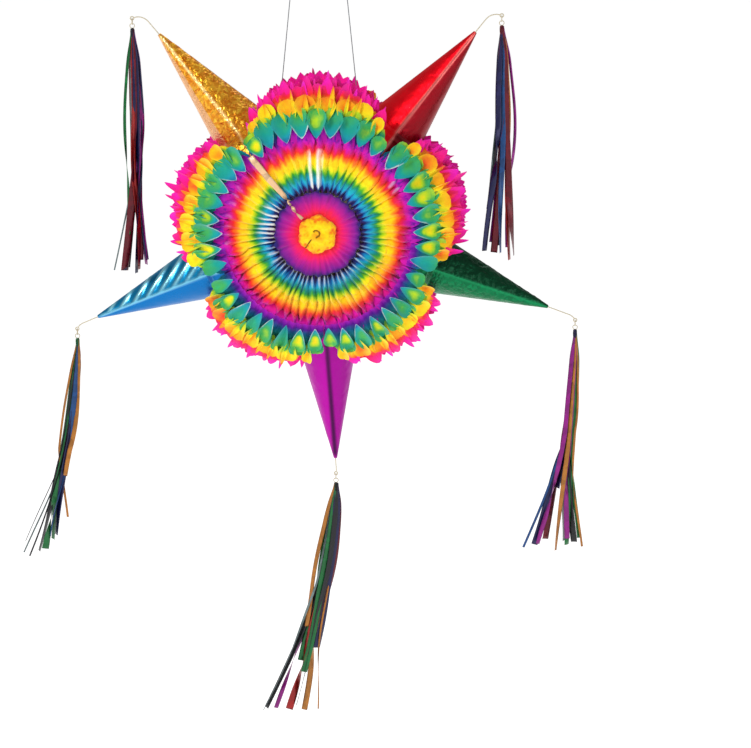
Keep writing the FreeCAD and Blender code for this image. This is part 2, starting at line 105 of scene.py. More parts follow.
def addSheet(batch, grid, uvGrid, offset, mat=0, wrap=False):
    # a closed thin solid: the grid of points, and the same grid moved by offset (one vector or a grid of them)
    rows, cols = len(grid), len(grid[0])
    start = len(batch["verts"])
    for side in (0, 1):
        for i in range(rows):
            for j in range(cols):
                move = offset[i][j] if isinstance(offset, list) else offset
                batch["verts"].append(grid[i][j] + move * side)
                batch["uvs"].append(uvGrid[i][j])

    def add(*corners):
        batch["faces"].append(tuple(start + side * rows * cols + i * cols + j % cols for side, i, j in corners))
        batch["mats"].append(mat)

    lastRow, lastCol = rows - 1, cols if wrap else cols - 1
    for i in range(lastRow):
        for j in range(lastCol):
            add((0, i, j), (0, i, j + 1), (0, i + 1, j + 1), (0, i + 1, j))
            add((1, i + 1, j), (1, i + 1, j + 1), (1, i, j + 1), (1, i, j))
    for j in range(lastCol):
        add((0, 0, j + 1), (0, 0, j), (1, 0, j), (1, 0, j + 1))
        add((0, lastRow, j), (0, lastRow, j + 1), (1, lastRow, j + 1), (1, lastRow, j))
    if not wrap:
        for i in range(lastRow):
            add((0, i, 0), (0, i + 1, 0), (1, i + 1, 0), (1, i, 0))
            add((0, i + 1, lastCol), (0, i, lastCol), (1, i, lastCol), (1, i + 1, lastCol))


def pathFrames(path, closed=False):
    # a sideways vector for each point, carried along the path without twisting
    count = len(path)
    frames = []
    side = None
    for i, p in enumerate(path):
        after = path[(i + 1) % count] if closed else path[min(i + 1, count - 1)]
        before = path[i - 1] if closed or i else p
        along = (after - before).normalized()
        if side is None:
            side = along.orthogonal().normalized()
        side = (side - along * side.dot(along)).normalized()
        frames.append((along, side, along.cross(side)))
    return frames


def addTube(batch, path, radius, sides=8, mat=0, closed=False):
    # radius is one number or one for each point; an open tube ends in flat caps
    start, count = len(batch["verts"]), len(path)
    for i, (along, side, up) in enumerate(pathFrames(path, closed)):
        r = radius[i] if isinstance(radius, list) else radius
        for k in range(sides):
            a = fullTurn * k / sides
            batch["verts"].append(path[i] + (side * math.cos(a) + up * math.sin(a)) * r)
            batch["uvs"].append((k / sides, i / max(1, count - 1)))
    faces = []
    for i in range(count if closed else count - 1):
        for k in range(sides):
            a, b = start + i * sides, start + (i + 1) % count * sides
            faces.append((a + k, a + (k + 1) % sides, b + (k + 1) % sides, b + k))
    if not closed:
        faces.append(tuple(start + k for k in reversed(range(sides))))
        faces.append(tuple(start + (count - 1) * sides + k for k in range(sides)))
    batch["faces"] += faces
    batch["mats"] += [mat] * len(faces)


def strandPath(ring, offset, pitch, phase):
    # one strand of a twisted cord that follows a closed ring
    out, run = [], 0.0
    total = sum((b - a).length for a, b in zip(ring, ring[1:]))
    turns = max(1, round(total / pitch))
    for i, (along, side, up) in enumerate(pathFrames(ring, True)):
        if i:
            run += (ring[i] - ring[i - 1]).length
        a = fullTurn * turns * run / total + phase
        out.append(ring[i] + (side * math.cos(a) + up * math.sin(a)) * offset)
    return out


def circlePath(centre, first, second, radius, steps):
    turns = [fullTurn * k / steps for k in range(steps)]
    return [centre + (first * math.cos(a) + second * math.sin(a)) * radius for a in turns]


def buildPiece(name, batch, materials, node=None, body=None, sharp=None):
    # the piece stands in for node and rides its body, unless body says otherwise
    mesh = bpy.data.meshes.new(name)
    mesh.from_pydata([tuple(v) for v in batch["verts"]], [], batch["faces"])
    for material in materials:
        mesh.materials.append(material)
    mesh.polygons.foreach_set("material_index", batch["mats"])
    mesh.polygons.foreach_set("use_smooth", [True] * len(mesh.polygons))
    layer = mesh.uv_layers.new(name="dye")
    for loop in mesh.loops:
        layer.data[loop.index].uv = batch["uvs"][loop.vertex_index]
    edit = bmesh.new()
    edit.from_mesh(mesh)
    bmesh.ops.recalc_face_normals(edit, faces=edit.faces)
    edit.to_mesh(mesh)
    edit.free()
    mesh.update()
    if sharp:
        mesh.set_sharp_from_angle(angle=math.radians(sharp))
    piece = bpy.data.objects.new(name, mesh)
    bpy.context.scene.collection.objects.link(piece)
    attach(piece, body or nodes[node]["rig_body"])
    if node:
        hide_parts(node)
    return piece


def addNode(tree, kind, settings=None, **inputs):
    # kind leaves out the prefix; an input goes by its name, or by its number after an underscore
    node = tree.nodes.new("ShaderNode" + kind)
    for key, value in (settings or {}).items():
        setattr(node, key, value)
    for key, value in inputs.items():
        socket = node.inputs[int(key[1:])] if key[0] == "_" else node.inputs[key.replace("_", " ")]
        if isinstance(value, bpy.types.NodeSocket):
            tree.links.new(value, socket)
        else:
            socket.default_value = value
    return node


def addMath(tree, operation, *values):
    inputs = {f"_{i}": value for i, value in enumerate(values)}
    return addNode(tree, "Math", {"operation": operation}, **inputs).outputs[0]


def addRamp(tree, value, stops):
    ramp = addNode(tree, "ValToRGB", None, Fac=value)
    points = ramp.color_ramp.elements
    while len(points) < len(stops):
        points.new(0.5)
    for point, (at, colour) in zip(points, stops):
        point.position = at
        point.color = (*colour, 1.0)
    return ramp.outputs["Color"]


def addMix(tree, share, first, second, blend="MIX"):
    settings = {"data_type": "RGBA", "blend_type": blend}
    return addNode(tree, "Mix", settings, _0=share, _6=first, _7=second).outputs[2]


def addNoise(tree, place, scale, detail, **more):
    return addNode(tree, "TexNoise", None, Vector=place, Scale=scale, Detail=detail, **more).outputs[0]


def addVoronoi(tree, place, scale, feature="F1"):
    return addNode(tree, "TexVoronoi", {"feature": feature}, Vector=place, Scale=scale)


def addRange(tree, value, low, high, first, second):
    return addNode(tree, "MapRange", None, Value=value, _1=low, _2=high, _3=first, _4=second).outputs[0]


def addMapping(tree, place, **values):
    return addNode(tree, "Mapping", None, Vector=place, **values).outputs[0]


def objectPlace(tree):
    return tree.nodes.new("ShaderNodeTexCoord").outputs["Object"]


def meshMap(tree):
    # the mesh's own map: how far out along the dyed paper a point is, and how far in from its cut edge
    parts = addNode(tree, "SeparateXYZ", None, Vector=tree.nodes.new("ShaderNodeUVMap").outputs[0])
    return parts.outputs[0], parts.outputs[1]


def newGroup(name, inputs, outputs):
    group = bpy.data.node_groups.new(name, "ShaderNodeTree")
    for label, value in inputs.items():
        group.interface.new_socket(label, in_out="INPUT", socket_type="NodeSocketFloat").default_value = value
    for label in outputs:
        group.interface.new_socket(label, in_out="OUTPUT", socket_type="NodeSocketFloat")
    given = group.nodes.new("NodeGroupInput").outputs
    scaled = addNode(group, "VectorMath", {"operation": "SCALE"}, _0=objectPlace(group), Scale=given["Scale"])
    return group, given, scaled.outputs[0], group.nodes.new("NodeGroupOutput").inputs


def paperFibreGroup():
    group, given, place, out = newGroup("paperFibre", {"Scale": 1.0, "Contrast": 0.2}, ("Height", "Shade"))
    crepe = addNoise(group, place, 900.0, 4.0, Roughness=0.65)
    fibre = addNoise(group, place, 260.0, 6.0, Roughness=0.7, Distortion=1.6)
    cloud = addNoise(group, place, 45.0, 3.0, Roughness=0.6)
    both = addMath(group, "SUBTRACT", addMath(group, "ADD", fibre, cloud), 1.0)
    group.links.new(addMath(group, "ADD", crepe, fibre), out["Height"])
    group.links.new(addMath(group, "MULTIPLY_ADD", both, given["Contrast"], 1.0), out["Shade"])
    return group


def foilCrinkleGroup():
    group, given, place, out = newGroup("foilCrinkle", {"Scale": 1.0, "Stretch": 1.0}, ("Height", "Glint"))
    warp = addNode(group, "TexNoise", None, Vector=place, Scale=60.0, Detail=3.0).outputs["Color"]
    push = (0.012, 0.012, 0.012)
    place = addNode(group, "VectorMath", {"operation": "MULTIPLY_ADD"}, _0=warp, _1=push, _2=place).outputs[0]
    creases = addVoronoi(group, place, 90.0, "DISTANCE_TO_EDGE").outputs["Distance"]
    fold = addMath(group, "MINIMUM", addMath(group, "MULTIPLY", creases, 4.0), 1.0)
    wave = addMath(group, "MULTIPLY", addNoise(group, place, 30.0, 5.0), given["Stretch"])
    group.links.new(addMath(group, "ADD", fold, wave), out["Height"])
    group.links.new(addVoronoi(group, place, 140.0).outputs["Color"], out["Glint"])
    return group


paperFibre = paperFibreGroup()
foilCrinkle = foilCrinkleGroup()


def useGroup(tree, group, **inputs):
    node = tree.nodes.new("ShaderNodeGroup")
    node.node_tree = group
    for key, value in inputs.items():
        node.inputs[key].default_value = value
    return node.outputs


def newMaterial(name, **constants):
    material = bpy.data.materials.new(name)
    material.use_nodes = True
    tree = material.node_tree
    for key, value in constants.items():
        shaderInputs(tree)[key.replace("_", " ")].default_value = value
    return material, tree


def shaderInputs(tree):
    return next(n for n in tree.nodes if n.type == "BSDF_PRINCIPLED").inputs


def feed(material, bump, **sources):
    # bump is the height, its strength and its distance in metres
    tree = material.node_tree
    height, strength, distance = bump
    sources["Normal"] = addNode(tree, "Bump", None, Height=height, Strength=strength, Distance=distance).outputs[0]
    for key, value in sources.items():
        tree.links.new(value, shaderInputs(tree)[key.replace("_", " ")])
    return material


# rainbow dye by distance from the middle of the fan, in millimetres
rainbow = [
    (0, (0.9, 0.06, 0.02)), (26, (0.82, 0.01, 0.03)), (33, (0.74, 0, 0.14)), (41, (0.46, 0, 0.24)),
    (49, (0.2, 0, 0.26)), (54, (0.03, 0, 0.14)), (59, (0, 0.01, 0.16)), (63, (0, 0.2, 0.52)),
    (69, (0, 0.42, 0.58)), (75, (0, 0.28, 0.16)), (79, (0.05, 0.4, 0.01)), (84, (0.56, 0.7, 0)),
    (89, (1, 0.74, 0)), (97, (1, 0.66, 0)), (102, (1, 0.26, 0)), (107, (0.86, 0.02, 0.01)),
    (112, (0.82, 0, 0.12)), (118, (0.7, 0, 0.42)), (125, (0.38, 0, 0.48)), (131, (0.1, 0, 0.33)),
    (137, (0, 0.12, 0.34)), (143, (0, 0.32, 0.4)), (150, (0, 0.36, 0.28)), (157, (0.05, 0.42, 0.08)),
    (162, (0.48, 0.7, 0.01)), (168, (1, 0.74, 0)), (174, (1, 0.38, 0)), (180, (0.9, 0.02, 0.01)),
    (186, (0.92, 0, 0.12)), (193, (0.94, 0, 0.27)), (212, (0.92, 0, 0.62)),
]
dyeSpan = 212.0
palePaper = (0.95, 0.90, 0.86, 1.0)


def tissueMaterial(name, paleEdge, bleed):
    material, tree = newMaterial(name, Sheen_Weight=0.25, Sheen_Roughness=0.5, Specular_IOR_Level=0.25)
    dye, edge = meshMap(tree)
    fibre = useGroup(tree, paperFibre, Scale=1.0, Contrast=0.28)
    place = objectPlace(tree)
    cloud = addMath(tree, "SUBTRACT", addNoise(tree, place, 70.0, 3.0), 0.5)
    shifted = addMath(tree, "MULTIPLY_ADD", cloud, bleed, dye)
    colour = addRamp(tree, shifted, [(at / dyeSpan, c) for at, c in rainbow])
    colour = addMix(tree, 1.0, colour, fibre["Shade"], "MULTIPLY")
    # the map's second value falls from 1 to 0 where the paper turns pale, on a fold or a cut edge
    patch = addMath(tree, "ADD", addNoise(tree, place, 130.0, 3.0), 0.6)
    paleness = addMath(tree, "MULTIPLY", addMath(tree, "SUBTRACT", 1.0, edge), patch)
    colour = addMix(tree, addRange(tree, paleness, 0.25, 0.95, 0.0, paleEdge), colour, palePaper)
    rough = addRange(tree, fibre["Height"], 0.6, 1.4, 0.62, 0.85)
    return feed(material, (fibre["Height"], 0.35, 0.0004), Base_Color=colour, Roughness=rough)


def cardMaterial(name, colour):
    material, tree = newMaterial(name, Specular_IOR_Level=0.3)
    fibre = useGroup(tree, paperFibre, Scale=0.8, Contrast=0.5)
    tinted = addMix(tree, 1.0, (*colour, 1.0), fibre["Shade"], "MULTIPLY")
    level = addRange(tree, fibre["Height"], 0.6, 1.4, 0.7, 0.9)
    return feed(material, (fibre["Height"], 0.4, 0.0005), Base_Color=tinted, Roughness=level)


def papierMacheMaterial(name, browns):
    # torn strips of pulp paper pasted over each other
    material, tree = newMaterial(name, Specular_IOR_Level=0.3, Roughness=0.88)
    turned = addMapping(tree, objectPlace(tree), Rotation=(0.4, 0.9, 0.3), Scale=(1.0, 1.0, 3.5))
    strips = addVoronoi(tree, turned, 16.0).outputs["Color"]
    seams = addVoronoi(tree, turned, 16.0, "DISTANCE_TO_EDGE").outputs["Distance"]
    fibre = useGroup(tree, paperFibre, Scale=0.6, Contrast=0.45)
    tone = addMix(tree, 1.0, addRamp(tree, strips, browns), fibre["Shade"], "MULTIPLY")
    lap = addMath(tree, "MINIMUM", addMath(tree, "MULTIPLY", seams, 9.0), 1.0)
    height = addMath(tree, "MULTIPLY_ADD", fibre["Height"], 0.5, lap)
    return feed(material, (height, 0.6, 0.0007), Base_Color=tone)


def foilMaterial(name, main, other, dark, line, metal, rough, crinkle, crackle=0.0):
    # the map's first value picks the flank, its second falls to 0 on a crease or a pressed rib, where the crease colour
    # is painted on as a painted highlight (a dark line on the purple cone)
    material, tree = newMaterial(name, Coat_Weight=0.1, Coat_Roughness=0.08, Specular_IOR_Level=0.35,
                                 Metallic=metal)
    flank, along = meshMap(tree)
    foil = useGroup(tree, foilCrinkle, Scale=1.6 if crackle else 0.5, Stretch=1.5)
    # main and other are the flanks' colours: on all but the gold cone a lit and a painted-shade copy of one foil
    base = addMix(tree, addMath(tree, "GREATER_THAN", flank, 0.5), (*main, 1.0), (*other, 1.0))
    spots = addRamp(tree, foil["Glint"], [(0.0, (0, 0, 0)), (0.45, (0.25, 0.25, 0.25)), (1.0, (1, 1, 1))])
    flecked = addMix(tree, spots, (*dark, 1.0), base)
    colour = addMix(tree, addRange(tree, flank, 0.0, 1.0, crackle, crackle * 0.25), base, flecked)
    # painted highlight: the crease colour along the front crease and on the pressed ribs (dark on the purple cone)
    colour = addMix(tree, addMath(tree, "SUBTRACT", 1.0, along), colour, (*line, 1.0))
    level = addRange(tree, foil["Glint"], 0.0, 1.0, rough, rough + 0.14)
    return feed(material, (foil["Height"], crinkle, 0.0008), Base_Color=colour, Roughness=level)


def stripMaterial(name, colour, metal=0.55, rough=0.25):
    # thin metallised film, creased here and there
    material, tree = newMaterial(name, Coat_Weight=0.3, Coat_Roughness=0.1, Metallic=metal)
    foil = useGroup(tree, foilCrinkle, Scale=0.7, Stretch=2.0)
    shade = addRamp(tree, foil["Glint"], [(0.0, tuple(c * 0.55 for c in colour)), (1.0, colour)])
    level = addRange(tree, foil["Glint"], 0.0, 1.0, rough, rough + 0.2)
    return feed(material, (foil["Height"], 0.35, 0.0006), Base_Color=shade, Roughness=level)


def threadMaterial(name, colour, pitch=900.0):
    # spun thread: fine slanting plies
    material, tree = newMaterial(name, Specular_IOR_Level=0.3)
    slant = {"bands_direction": "DIAGONAL"}
    plies = addNode(tree, "TexWave", slant, Vector=objectPlace(tree), Scale=pitch, Distortion=1.5).outputs["Color"]
    shade = addRamp(tree, plies, [(0.0, tuple(c * 0.6 for c in colour)), (1.0, colour)])
    fibre = useGroup(tree, paperFibre, Scale=2.0, Contrast=0.3)
    level = addRange(tree, fibre["Height"], 0.6, 1.4, 0.6, 0.9)
    return feed(material, (plies, 0.5, 0.0002), Base_Color=shade, Roughness=level)


def metalMaterial(name, colour, rough):
    # bright wire with fine drawing marks and dull patches
    material, tree = newMaterial(name, Metallic=1.0)
    place = objectPlace(tree)
    marks = addNoise(tree, addMapping(tree, place, Scale=(0.2, 4.0, 4.0)), 700.0, 4.0)
    wear = addNoise(tree, place, 60.0, 3.0)
    worn = addRamp(tree, wear, [(0.3, tuple(c * 0.8 for c in colour)), (0.7, colour)])
    level = addRange(tree, wear, 0.3, 0.7, rough, rough + 0.18)
    return feed(material, (marks, 0.12, 0.0001), Base_Color=worn, Roughness=level)


def woodMaterial(name, dark, pale):
    material, tree = newMaterial(name, Specular_IOR_Level=0.3, Roughness=0.7)
    run = addMapping(tree, objectPlace(tree), Scale=(0.08, 1.0, 1.0))
    grain = addNoise(tree, run, 600.0, 5.0, Distortion=0.6)
    return feed(material, (grain, 0.3, 0.0003), Base_Color=addRamp(tree, grain, [(0.3, dark), (0.7, pale)]))


tissue = tissueMaterial("rainbowTissue", 0.9, 0.055)
paleThread = threadMaterial("paleThread", (0.72, 0.64, 0.46))
greyLine = threadMaterial("greyLine", (0.22, 0.23, 0.25))
papierMache = papierMacheMaterial(
    "papierMache", [(0.0, (0.42, 0.33, 0.23)), (0.5, (0.56, 0.47, 0.34)), (1.0, (0.66, 0.58, 0.46))])
greyCard = cardMaterial("greyCard", (0.52, 0.43, 0.31))
ringSteel = metalMaterial("ringSteel", (0.72, 0.73, 0.75), 0.16)
pinSteel = metalMaterial("pinSteel", (0.52, 0.52, 0.54), 0.34)
dowelWood = woodMaterial("dowelWood", (0.36, 0.22, 0.10), (0.60, 0.42, 0.22))
print("materials ready")

# the camera's place round the star and what it aims at, in degrees and metres
view = {"distance": 3.6, "elevation": 13.76, "azimuth": 0.9, "aimX": 0.0727, "aimDown": 0.2035, "frameWidth": 0.992}
# each light: its place from the star's middle, its size and its power
lights = {"keyLight": ((-1.5, -2.2, 1.5), 0.9, 46.0), "fillLight": ((2.4, -1.6, 0.2), 1.6, 12.0),
          "topLight": ((0.3, 1.6, 2.2), 1.6, 14.0)}
stage = {"room": 0.42, "backdrop": 1.0, "floorGlow": 0.62, "floorRadius": 14, "floorBelow": 0.95, "floorSides": 64}


def setCamera():
    aim = starCentre + Vector((view["aimX"], 0, -view["aimDown"]))
    up, around = math.radians(view["elevation"]), math.radians(view["azimuth"])
    away = Vector((math.sin(around) * math.cos(up), -math.cos(around) * math.cos(up), math.sin(up)))
    data = bpy.data.cameras.new("camera")
    data.sensor_width = 36.0
    data.lens = data.sensor_width * view["distance"] / view["frameWidth"]
    camera = bpy.data.objects.new("camera", data)
    camera.location = aim + away * view["distance"]
    camera.rotation_euler = (-away).to_track_quat("-Z", "Y").to_euler()
    bpy.context.scene.collection.objects.link(camera)
    bpy.context.scene.camera = camera


def setLights():
    for name, (place, size, power) in lights.items():
        data = bpy.data.lights.new(name, "AREA")
        data.size = size
        data.energy = power
        lamp = bpy.data.objects.new(name, data)
        lamp.location = starCentre + Vector(place)
        lamp.rotation_euler = (-Vector(place)).to_track_quat("-Z", "Y").to_euler()
        bpy.context.scene.collection.objects.link(lamp)


def setRoom():
    # the backdrop shows white, and lights the piece more softly than it looks
    world = bpy.data.worlds.new("room")
    world.use_nodes = True
    rays = world.node_tree.nodes.new("ShaderNodeLightPath").outputs["Is Camera Ray"]
    strength = addRange(world.node_tree, rays, 0.0, 1.0, stage["room"], stage["backdrop"])
    background = world.node_tree.nodes["Background"]
    background.inputs["Color"].default_value = (1.0, 1.0, 1.0, 1.0)
    world.node_tree.links.new(strength, background.inputs["Strength"])
    bpy.context.scene.world = world
    bpy.context.scene.view_settings.view_transform = "Standard"
    ring = circlePath(starCentre - axisZ * stage["floorBelow"], axisX, axisY, stage["floorRadius"], stage["floorSides"])
    mesh = bpy.data.meshes.new("floor")
    mesh.from_pydata([tuple(p) for p in ring], [], [tuple(range(len(ring)))])
    material = newMaterial("paleFloor", Roughness=0.9, Specular_IOR_Level=0.1, Base_Color=(0.92, 0.92, 0.92, 1.0),
                           Emission_Color=(1.0, 1.0, 1.0, 1.0), Emission_Strength=stage["floorGlow"])[0]
    mesh.materials.append(material)
    floor = bpy.data.objects.new("floor", mesh)
    bpy.context.scene.collection.objects.link(floor)


setCamera()
setLights()
setRoom()
print("camera and lights ready")

# the lines from the dowel in the ball up to the ring, in mm
hanging = {"lineRadius": 0.6, "wraps": 4, "wrapRadius": 1.15, "dowelRadius": 3.0, "wireRadius": 1.6, "slack": 0.3}
lineRadius = hanging["lineRadius"] * mm


def hangingLine(side, name):
    low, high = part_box(name)
    left, right = low[0] + lineRadius, high[0] - lineRadius
    foot = Vector((right if side > 0 else left, 0, low[2]))
    head = Vector((left if side > 0 else right, 0, high[2]))
    curve = bpy.data.curves.new(name, "CURVE")
    curve.dimensions = "3D"
    spline = curve.splines.new("NURBS")
    spline.points.add(4)
    for k in range(5):
        spline.points[k].co = (*(foot + (head - foot) * k / 4), 1.0)
    spline.order_u = 3
    spline.use_endpoint_u = True
    curve.bevel_depth = lineRadius
    curve.bevel_resolution = 3
    curve.use_fill_caps = True
    curve.materials.append(greyLine)
    line = bpy.data.objects.new(name.replace("hanging_line", "line"), curve)
    bpy.context.scene.collection.objects.link(line)
    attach(line, "hanger")
    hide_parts(name)
    return line, foot, head


def knotPiece(end, foot, head, name):
    # a loop round the dowel or the ring's wire, and a barrel of wraps round the line
    along = (head - foot).normalized()
    if end == "bottom":
        tip, outward, held, barZ = foot, -along, hanging["dowelRadius"], middleOf("anchor_dowel").z
    else:
        tip, outward, held = head, along, hanging["wireRadius"]
        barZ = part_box("hanging_ring")[0][2] + held * mm
    batch = newBatch()
    loopRadius = (held + hanging["slack"]) * mm + lineRadius
    centre = Vector((tip.x + outward.x / outward.z * (barZ - tip.z), 0, barZ))
    addTube(batch, circlePath(centre, axisY, axisZ, loopRadius, 36), lineRadius, 8, 0, True)
    length = (centre - tip).length - loopRadius
    side = along.orthogonal().normalized()
    up = along.cross(side)
    path = []
    steps = hanging["wraps"] * 16
    for k in range(steps + 1):
        a = fullTurn * hanging["wraps"] * k / steps
        at = tip + outward * (lineRadius + (length - 1.2 * lineRadius) * k / steps)
        path.append(at + (side * math.cos(a) + up * math.sin(a)) * hanging["wrapRadius"] * mm)
    addTube(batch, path, lineRadius, 8)
    addTube(batch, [tip - outward * lineRadius, tip + outward * (length + 0.5 * lineRadius)], lineRadius, 8)
    return buildPiece(name, batch, [greyLine], "line_ties_" + end, "hanger")


for sideName, sign in (("left", -1), ("right", 1)):
    line, foot, head = hangingLine(sign, "hanging_line_" + sideName)
    knots = [knotPiece(end, foot, head, f"{sideName}Knot_{end}") for end in ("top", "bottom")]


def dress(node, material):
    nodes[node].data.materials.clear()
    nodes[node].data.materials.append(material)


for node, material in {"hanging_ring": ringSteel, "hatch_hinge_pin": pinSteel, "rim_band": papierMache,
                       "front_shell": papierMache, "back_shell": papierMache, "fill_hatch": papierMache,
                       "hatch_pull_tab": greyCard, "anchor_dowel": dowelWood, "dowel_saddles": greyCard}.items():
    dress(node, material)
print("hanging gear ready")

# the pleated tissue, in mm: the face is a curve through three points, each a radius and a depth; inner and frill
# are given for the front (-1) and the back (1)
fan = {"face": ((57, 82.25), (112, 88), (204, 28)), "inner": {-1: 51.0, 1: 54.5}, "pleats": 59, "valleyIn": 4.6,
       "valleyOut": 9.5, "steps": (88, 112), "ringEnd": 134.0, "paper": 0.6, "lobeCentre": 95.0, "lobeRadius": 109.0,
       "frill": {-1: -4.5, 1: -11.0}, "vee": 138.0, "veeOpen": 4.0, "lineRoom": 20.0}
cones = {"red": 51.0, "gold": 130.0, "blue": 203.5, "purple": 273.5, "green": 339.5}
lobes = {"top": (51.0, 130.0), "left": (130.0, 203.5), "lower_left": (203.5, 273.5), "lower_right": (273.5, 339.5),
         "right": (339.5, 411.0)}
rows = {
    "yellow": {"from": 142, "to": 174, "half": 13.0, "shift": 0.5, "dye": (158, 174), "cup": 6.5, "lift": 0.5, "tip": 0.0,
               "gap": 16, "narrowLow": 0.0, "spots": (3, 7, 10), "pale": (0.3, 0.3)},
    "teal": {"from": 122, "to": 157, "half": 12.4, "shift": 0.0, "dye": (140, 156), "cup": 8.0, "lift": 1.5, "tip": 6.0,
             "gap": 26, "narrowLow": 0.24, "spots": (3, 7, 12, 18), "pale": (0.1, 0.85)},
}
# how many of each fold or scale would go all the way round
counts = {"ringPoints": 44, "scales": 42, "standingFolds": 62, "rimPoints": 44, "rimThorns": 84, "backing": 84,
          "edgeBand": 116, "frillTeeth": 96}
# each frill round the sides: its distance from the middle plane, how far it stops short of the lobe's edge, and
# the dye at its root and its rim
frills = ((13.0, 9.0, 186, 206), (23.0, 9.0, 180, 200), (32.0, 13.0, 170, 192), (41.0, 26.0, 156, 178))


def arcThrough(a, b, c):
    d = 2 * (a[0] * (b[1] - c[1]) + b[0] * (c[1] - a[1]) + c[0] * (a[1] - b[1]))
    sa, sb, sc = (p[0] ** 2 + p[1] ** 2 for p in (a, b, c))
    x = (sa * (b[1] - c[1]) + sb * (c[1] - a[1]) + sc * (a[1] - b[1])) / d
    y = (sa * (c[0] - b[0]) + sb * (a[0] - c[0]) + sc * (b[0] - a[0])) / d
    return x, y, math.hypot(a[0] - x, a[1] - y)


faceArc = arcThrough(*fan["face"])


def faceDepth(r):
    return faceArc[1] + math.sqrt(max(1.0, faceArc[2] ** 2 - (r - faceArc[0]) ** 2))


def tissuePoint(side, angle, r, lift=0.0):
    slope = faceDepth(r + 0.5) - faceDepth(r - 0.5)
    scale = 1 / math.hypot(slope, 1.0)
    return starPoint(angle, r - slope * scale * lift, 0.0, side * (faceDepth(r) + scale * lift))


def inward(side, thick=fan["paper"]):
    return Vector((0, -side * thick * mm, 0))


def zigzag(angle, count, shift=0.0):
    # from 0 to 1 and back, count times in a full turn
    return 1 - abs(2 * ((angle / 360 * count + shift) % 1) - 1)


def lowness(angle, full=0.6):
    # 1 at the foot of the star, where the pleats stand open, and 0 above its middle
    return smooth(-0.35, full, -math.sin(math.radians(angle)))


def lobeEdge(angle, lobe):
    off = math.radians(angle - sum(lobes[lobe]) / 2)
    c, r = fan["lobeCentre"], fan["lobeRadius"]
    return c * math.cos(off) + math.sqrt(max(0.0, r * r - (c * math.sin(off)) ** 2))


def veeEdge(angle, lobe):
    # the tissue laps a cone's base in a notch that opens outwards
    start, end = lobes[lobe]
    return fan["vee"] + max(0.0, min(angle - start, end - angle) - 0.5) * fan["veeOpen"]


def ripple(angle, r, seed):
    a = math.radians(angle)
    return noise.noise(Vector((math.cos(a) * 3.1, math.sin(a) * 3.1, r * 0.02 + seed)))


def foldAt(side, angle, r):
    return zigzag(angle, fan["pleats"], 0.8 * ripple(angle, r, side * 7) + 0.35 * ripple(angle * 4, r * 2, side * 3))


def paleAt(angle, r, ridge):
    # paler paper: fold tips round the middle, streaks at the top and on the left
    a = angle % 360
    left = smooth(140, 150, a) * (1 - smooth(186, 196, a))
    top = smooth(84, 86, a) * (1 - smooth(90, 92, a)) + smooth(93.5, 95, a) * (1 - smooth(97, 98.5, a))
    right = smooth(20, 26, a) * (1 - smooth(36, 42, a))
    tips = smooth(0.5, 0.9, ridge) * (1 - smooth(60, 80, r)) * max(0.55 * lowness(a, 0.5), 0.9 * left, 0.25)
    streaks = top * smooth(57, 61, r) * (1 - smooth(104, 116, r)) * (0.45 + 0.55 * ridge)
    blush = (left * 0.3 + right * 0.45) * smooth(0.3, 0.8, ridge) * smooth(104, 112, r) * (1 - smooth(119, 126, r))
    return min(1.0, tips + 0.85 * streaks + blush + left * 0.5 * ridge * (1 - smooth(72, 92, r)))


def addPleats(batch, side, start, end):
    # the folded paper from the rosette out to the first row of scales
    cols = max(4, round((end - start) / 360 * fan["pleats"] * 10))
    steps = 46

    def cellAt(i, j):
        angle = start + (end - start) * j / cols
        ridge = foldAt(side, angle, 75)
        low = lowness(angle)
        first = fan["inner"][side] + (5.5 + 2 * low) * (1 - ridge)
        last = fan["ringEnd"] + 3 - 13 * (1 - ridge)
        r = mix(first, last, i / steps)
        ridge = foldAt(side, angle, r)
        deep = mix(fan["valleyIn"], fan["valleyOut"], (r - 57) / 75) * (1 + 0.45 * low)
        lift = -deep * (1 - ridge ** 0.8) + 1.2 * ripple(angle * 3, r, 3)
        for stepAt in fan["steps"]:
            loop = stepAt + 4.5 * (ridge - 0.5)
            lift -= (1.3 + 2.7 * low) * smooth(loop, loop + 2.2, r)
        dye = r + 4.5 * (ridge - 0.5) + 4 * ripple(angle * 9, r * 0.3, 11)
        return tissuePoint(side, angle, r, lift), (dye / dyeSpan, 1 - paleAt(angle, r, ridge))

    addSheet(batch, *makeGrid(steps + 1, cols + 1, cellAt), inward(side))


def addBacking(batch, side, lobe):
    # the paper that the scales are glued to, out to the lobe's edge
    start, end = lobes[lobe]
    cols, steps = 200, 12

    def cellAt(i, j):
        angle = start + 0.4 + (end - start - 0.8) * j / cols
        ridge = zigzag(angle, counts["backing"])
        last = min(lobeEdge(angle, lobe) - 8 - 5 * ridge + fan["frill"][side], veeEdge(angle, lobe) - 3 * ridge)
        r = mix(121, last, i / steps)
        lift = -5.0 + 3.2 * ridge - 3.0 * (1 - smooth(121, 135, r))
        return tissuePoint(side, angle, r, lift), (min(0.97, (r + 3) / dyeSpan), 1.0)

    addSheet(batch, *makeGrid(steps + 1, cols + 1, cellAt), inward(side))


def petalWidth(u, pointOut):
    if pointOut:
        u = 1 - u
    if u < 0.6:
        return max(0.05, (u / 0.6) ** 0.64)
    return max(0.16, math.sqrt(max(0.0, 1 - ((u - 0.6) / 0.4) ** 2)))


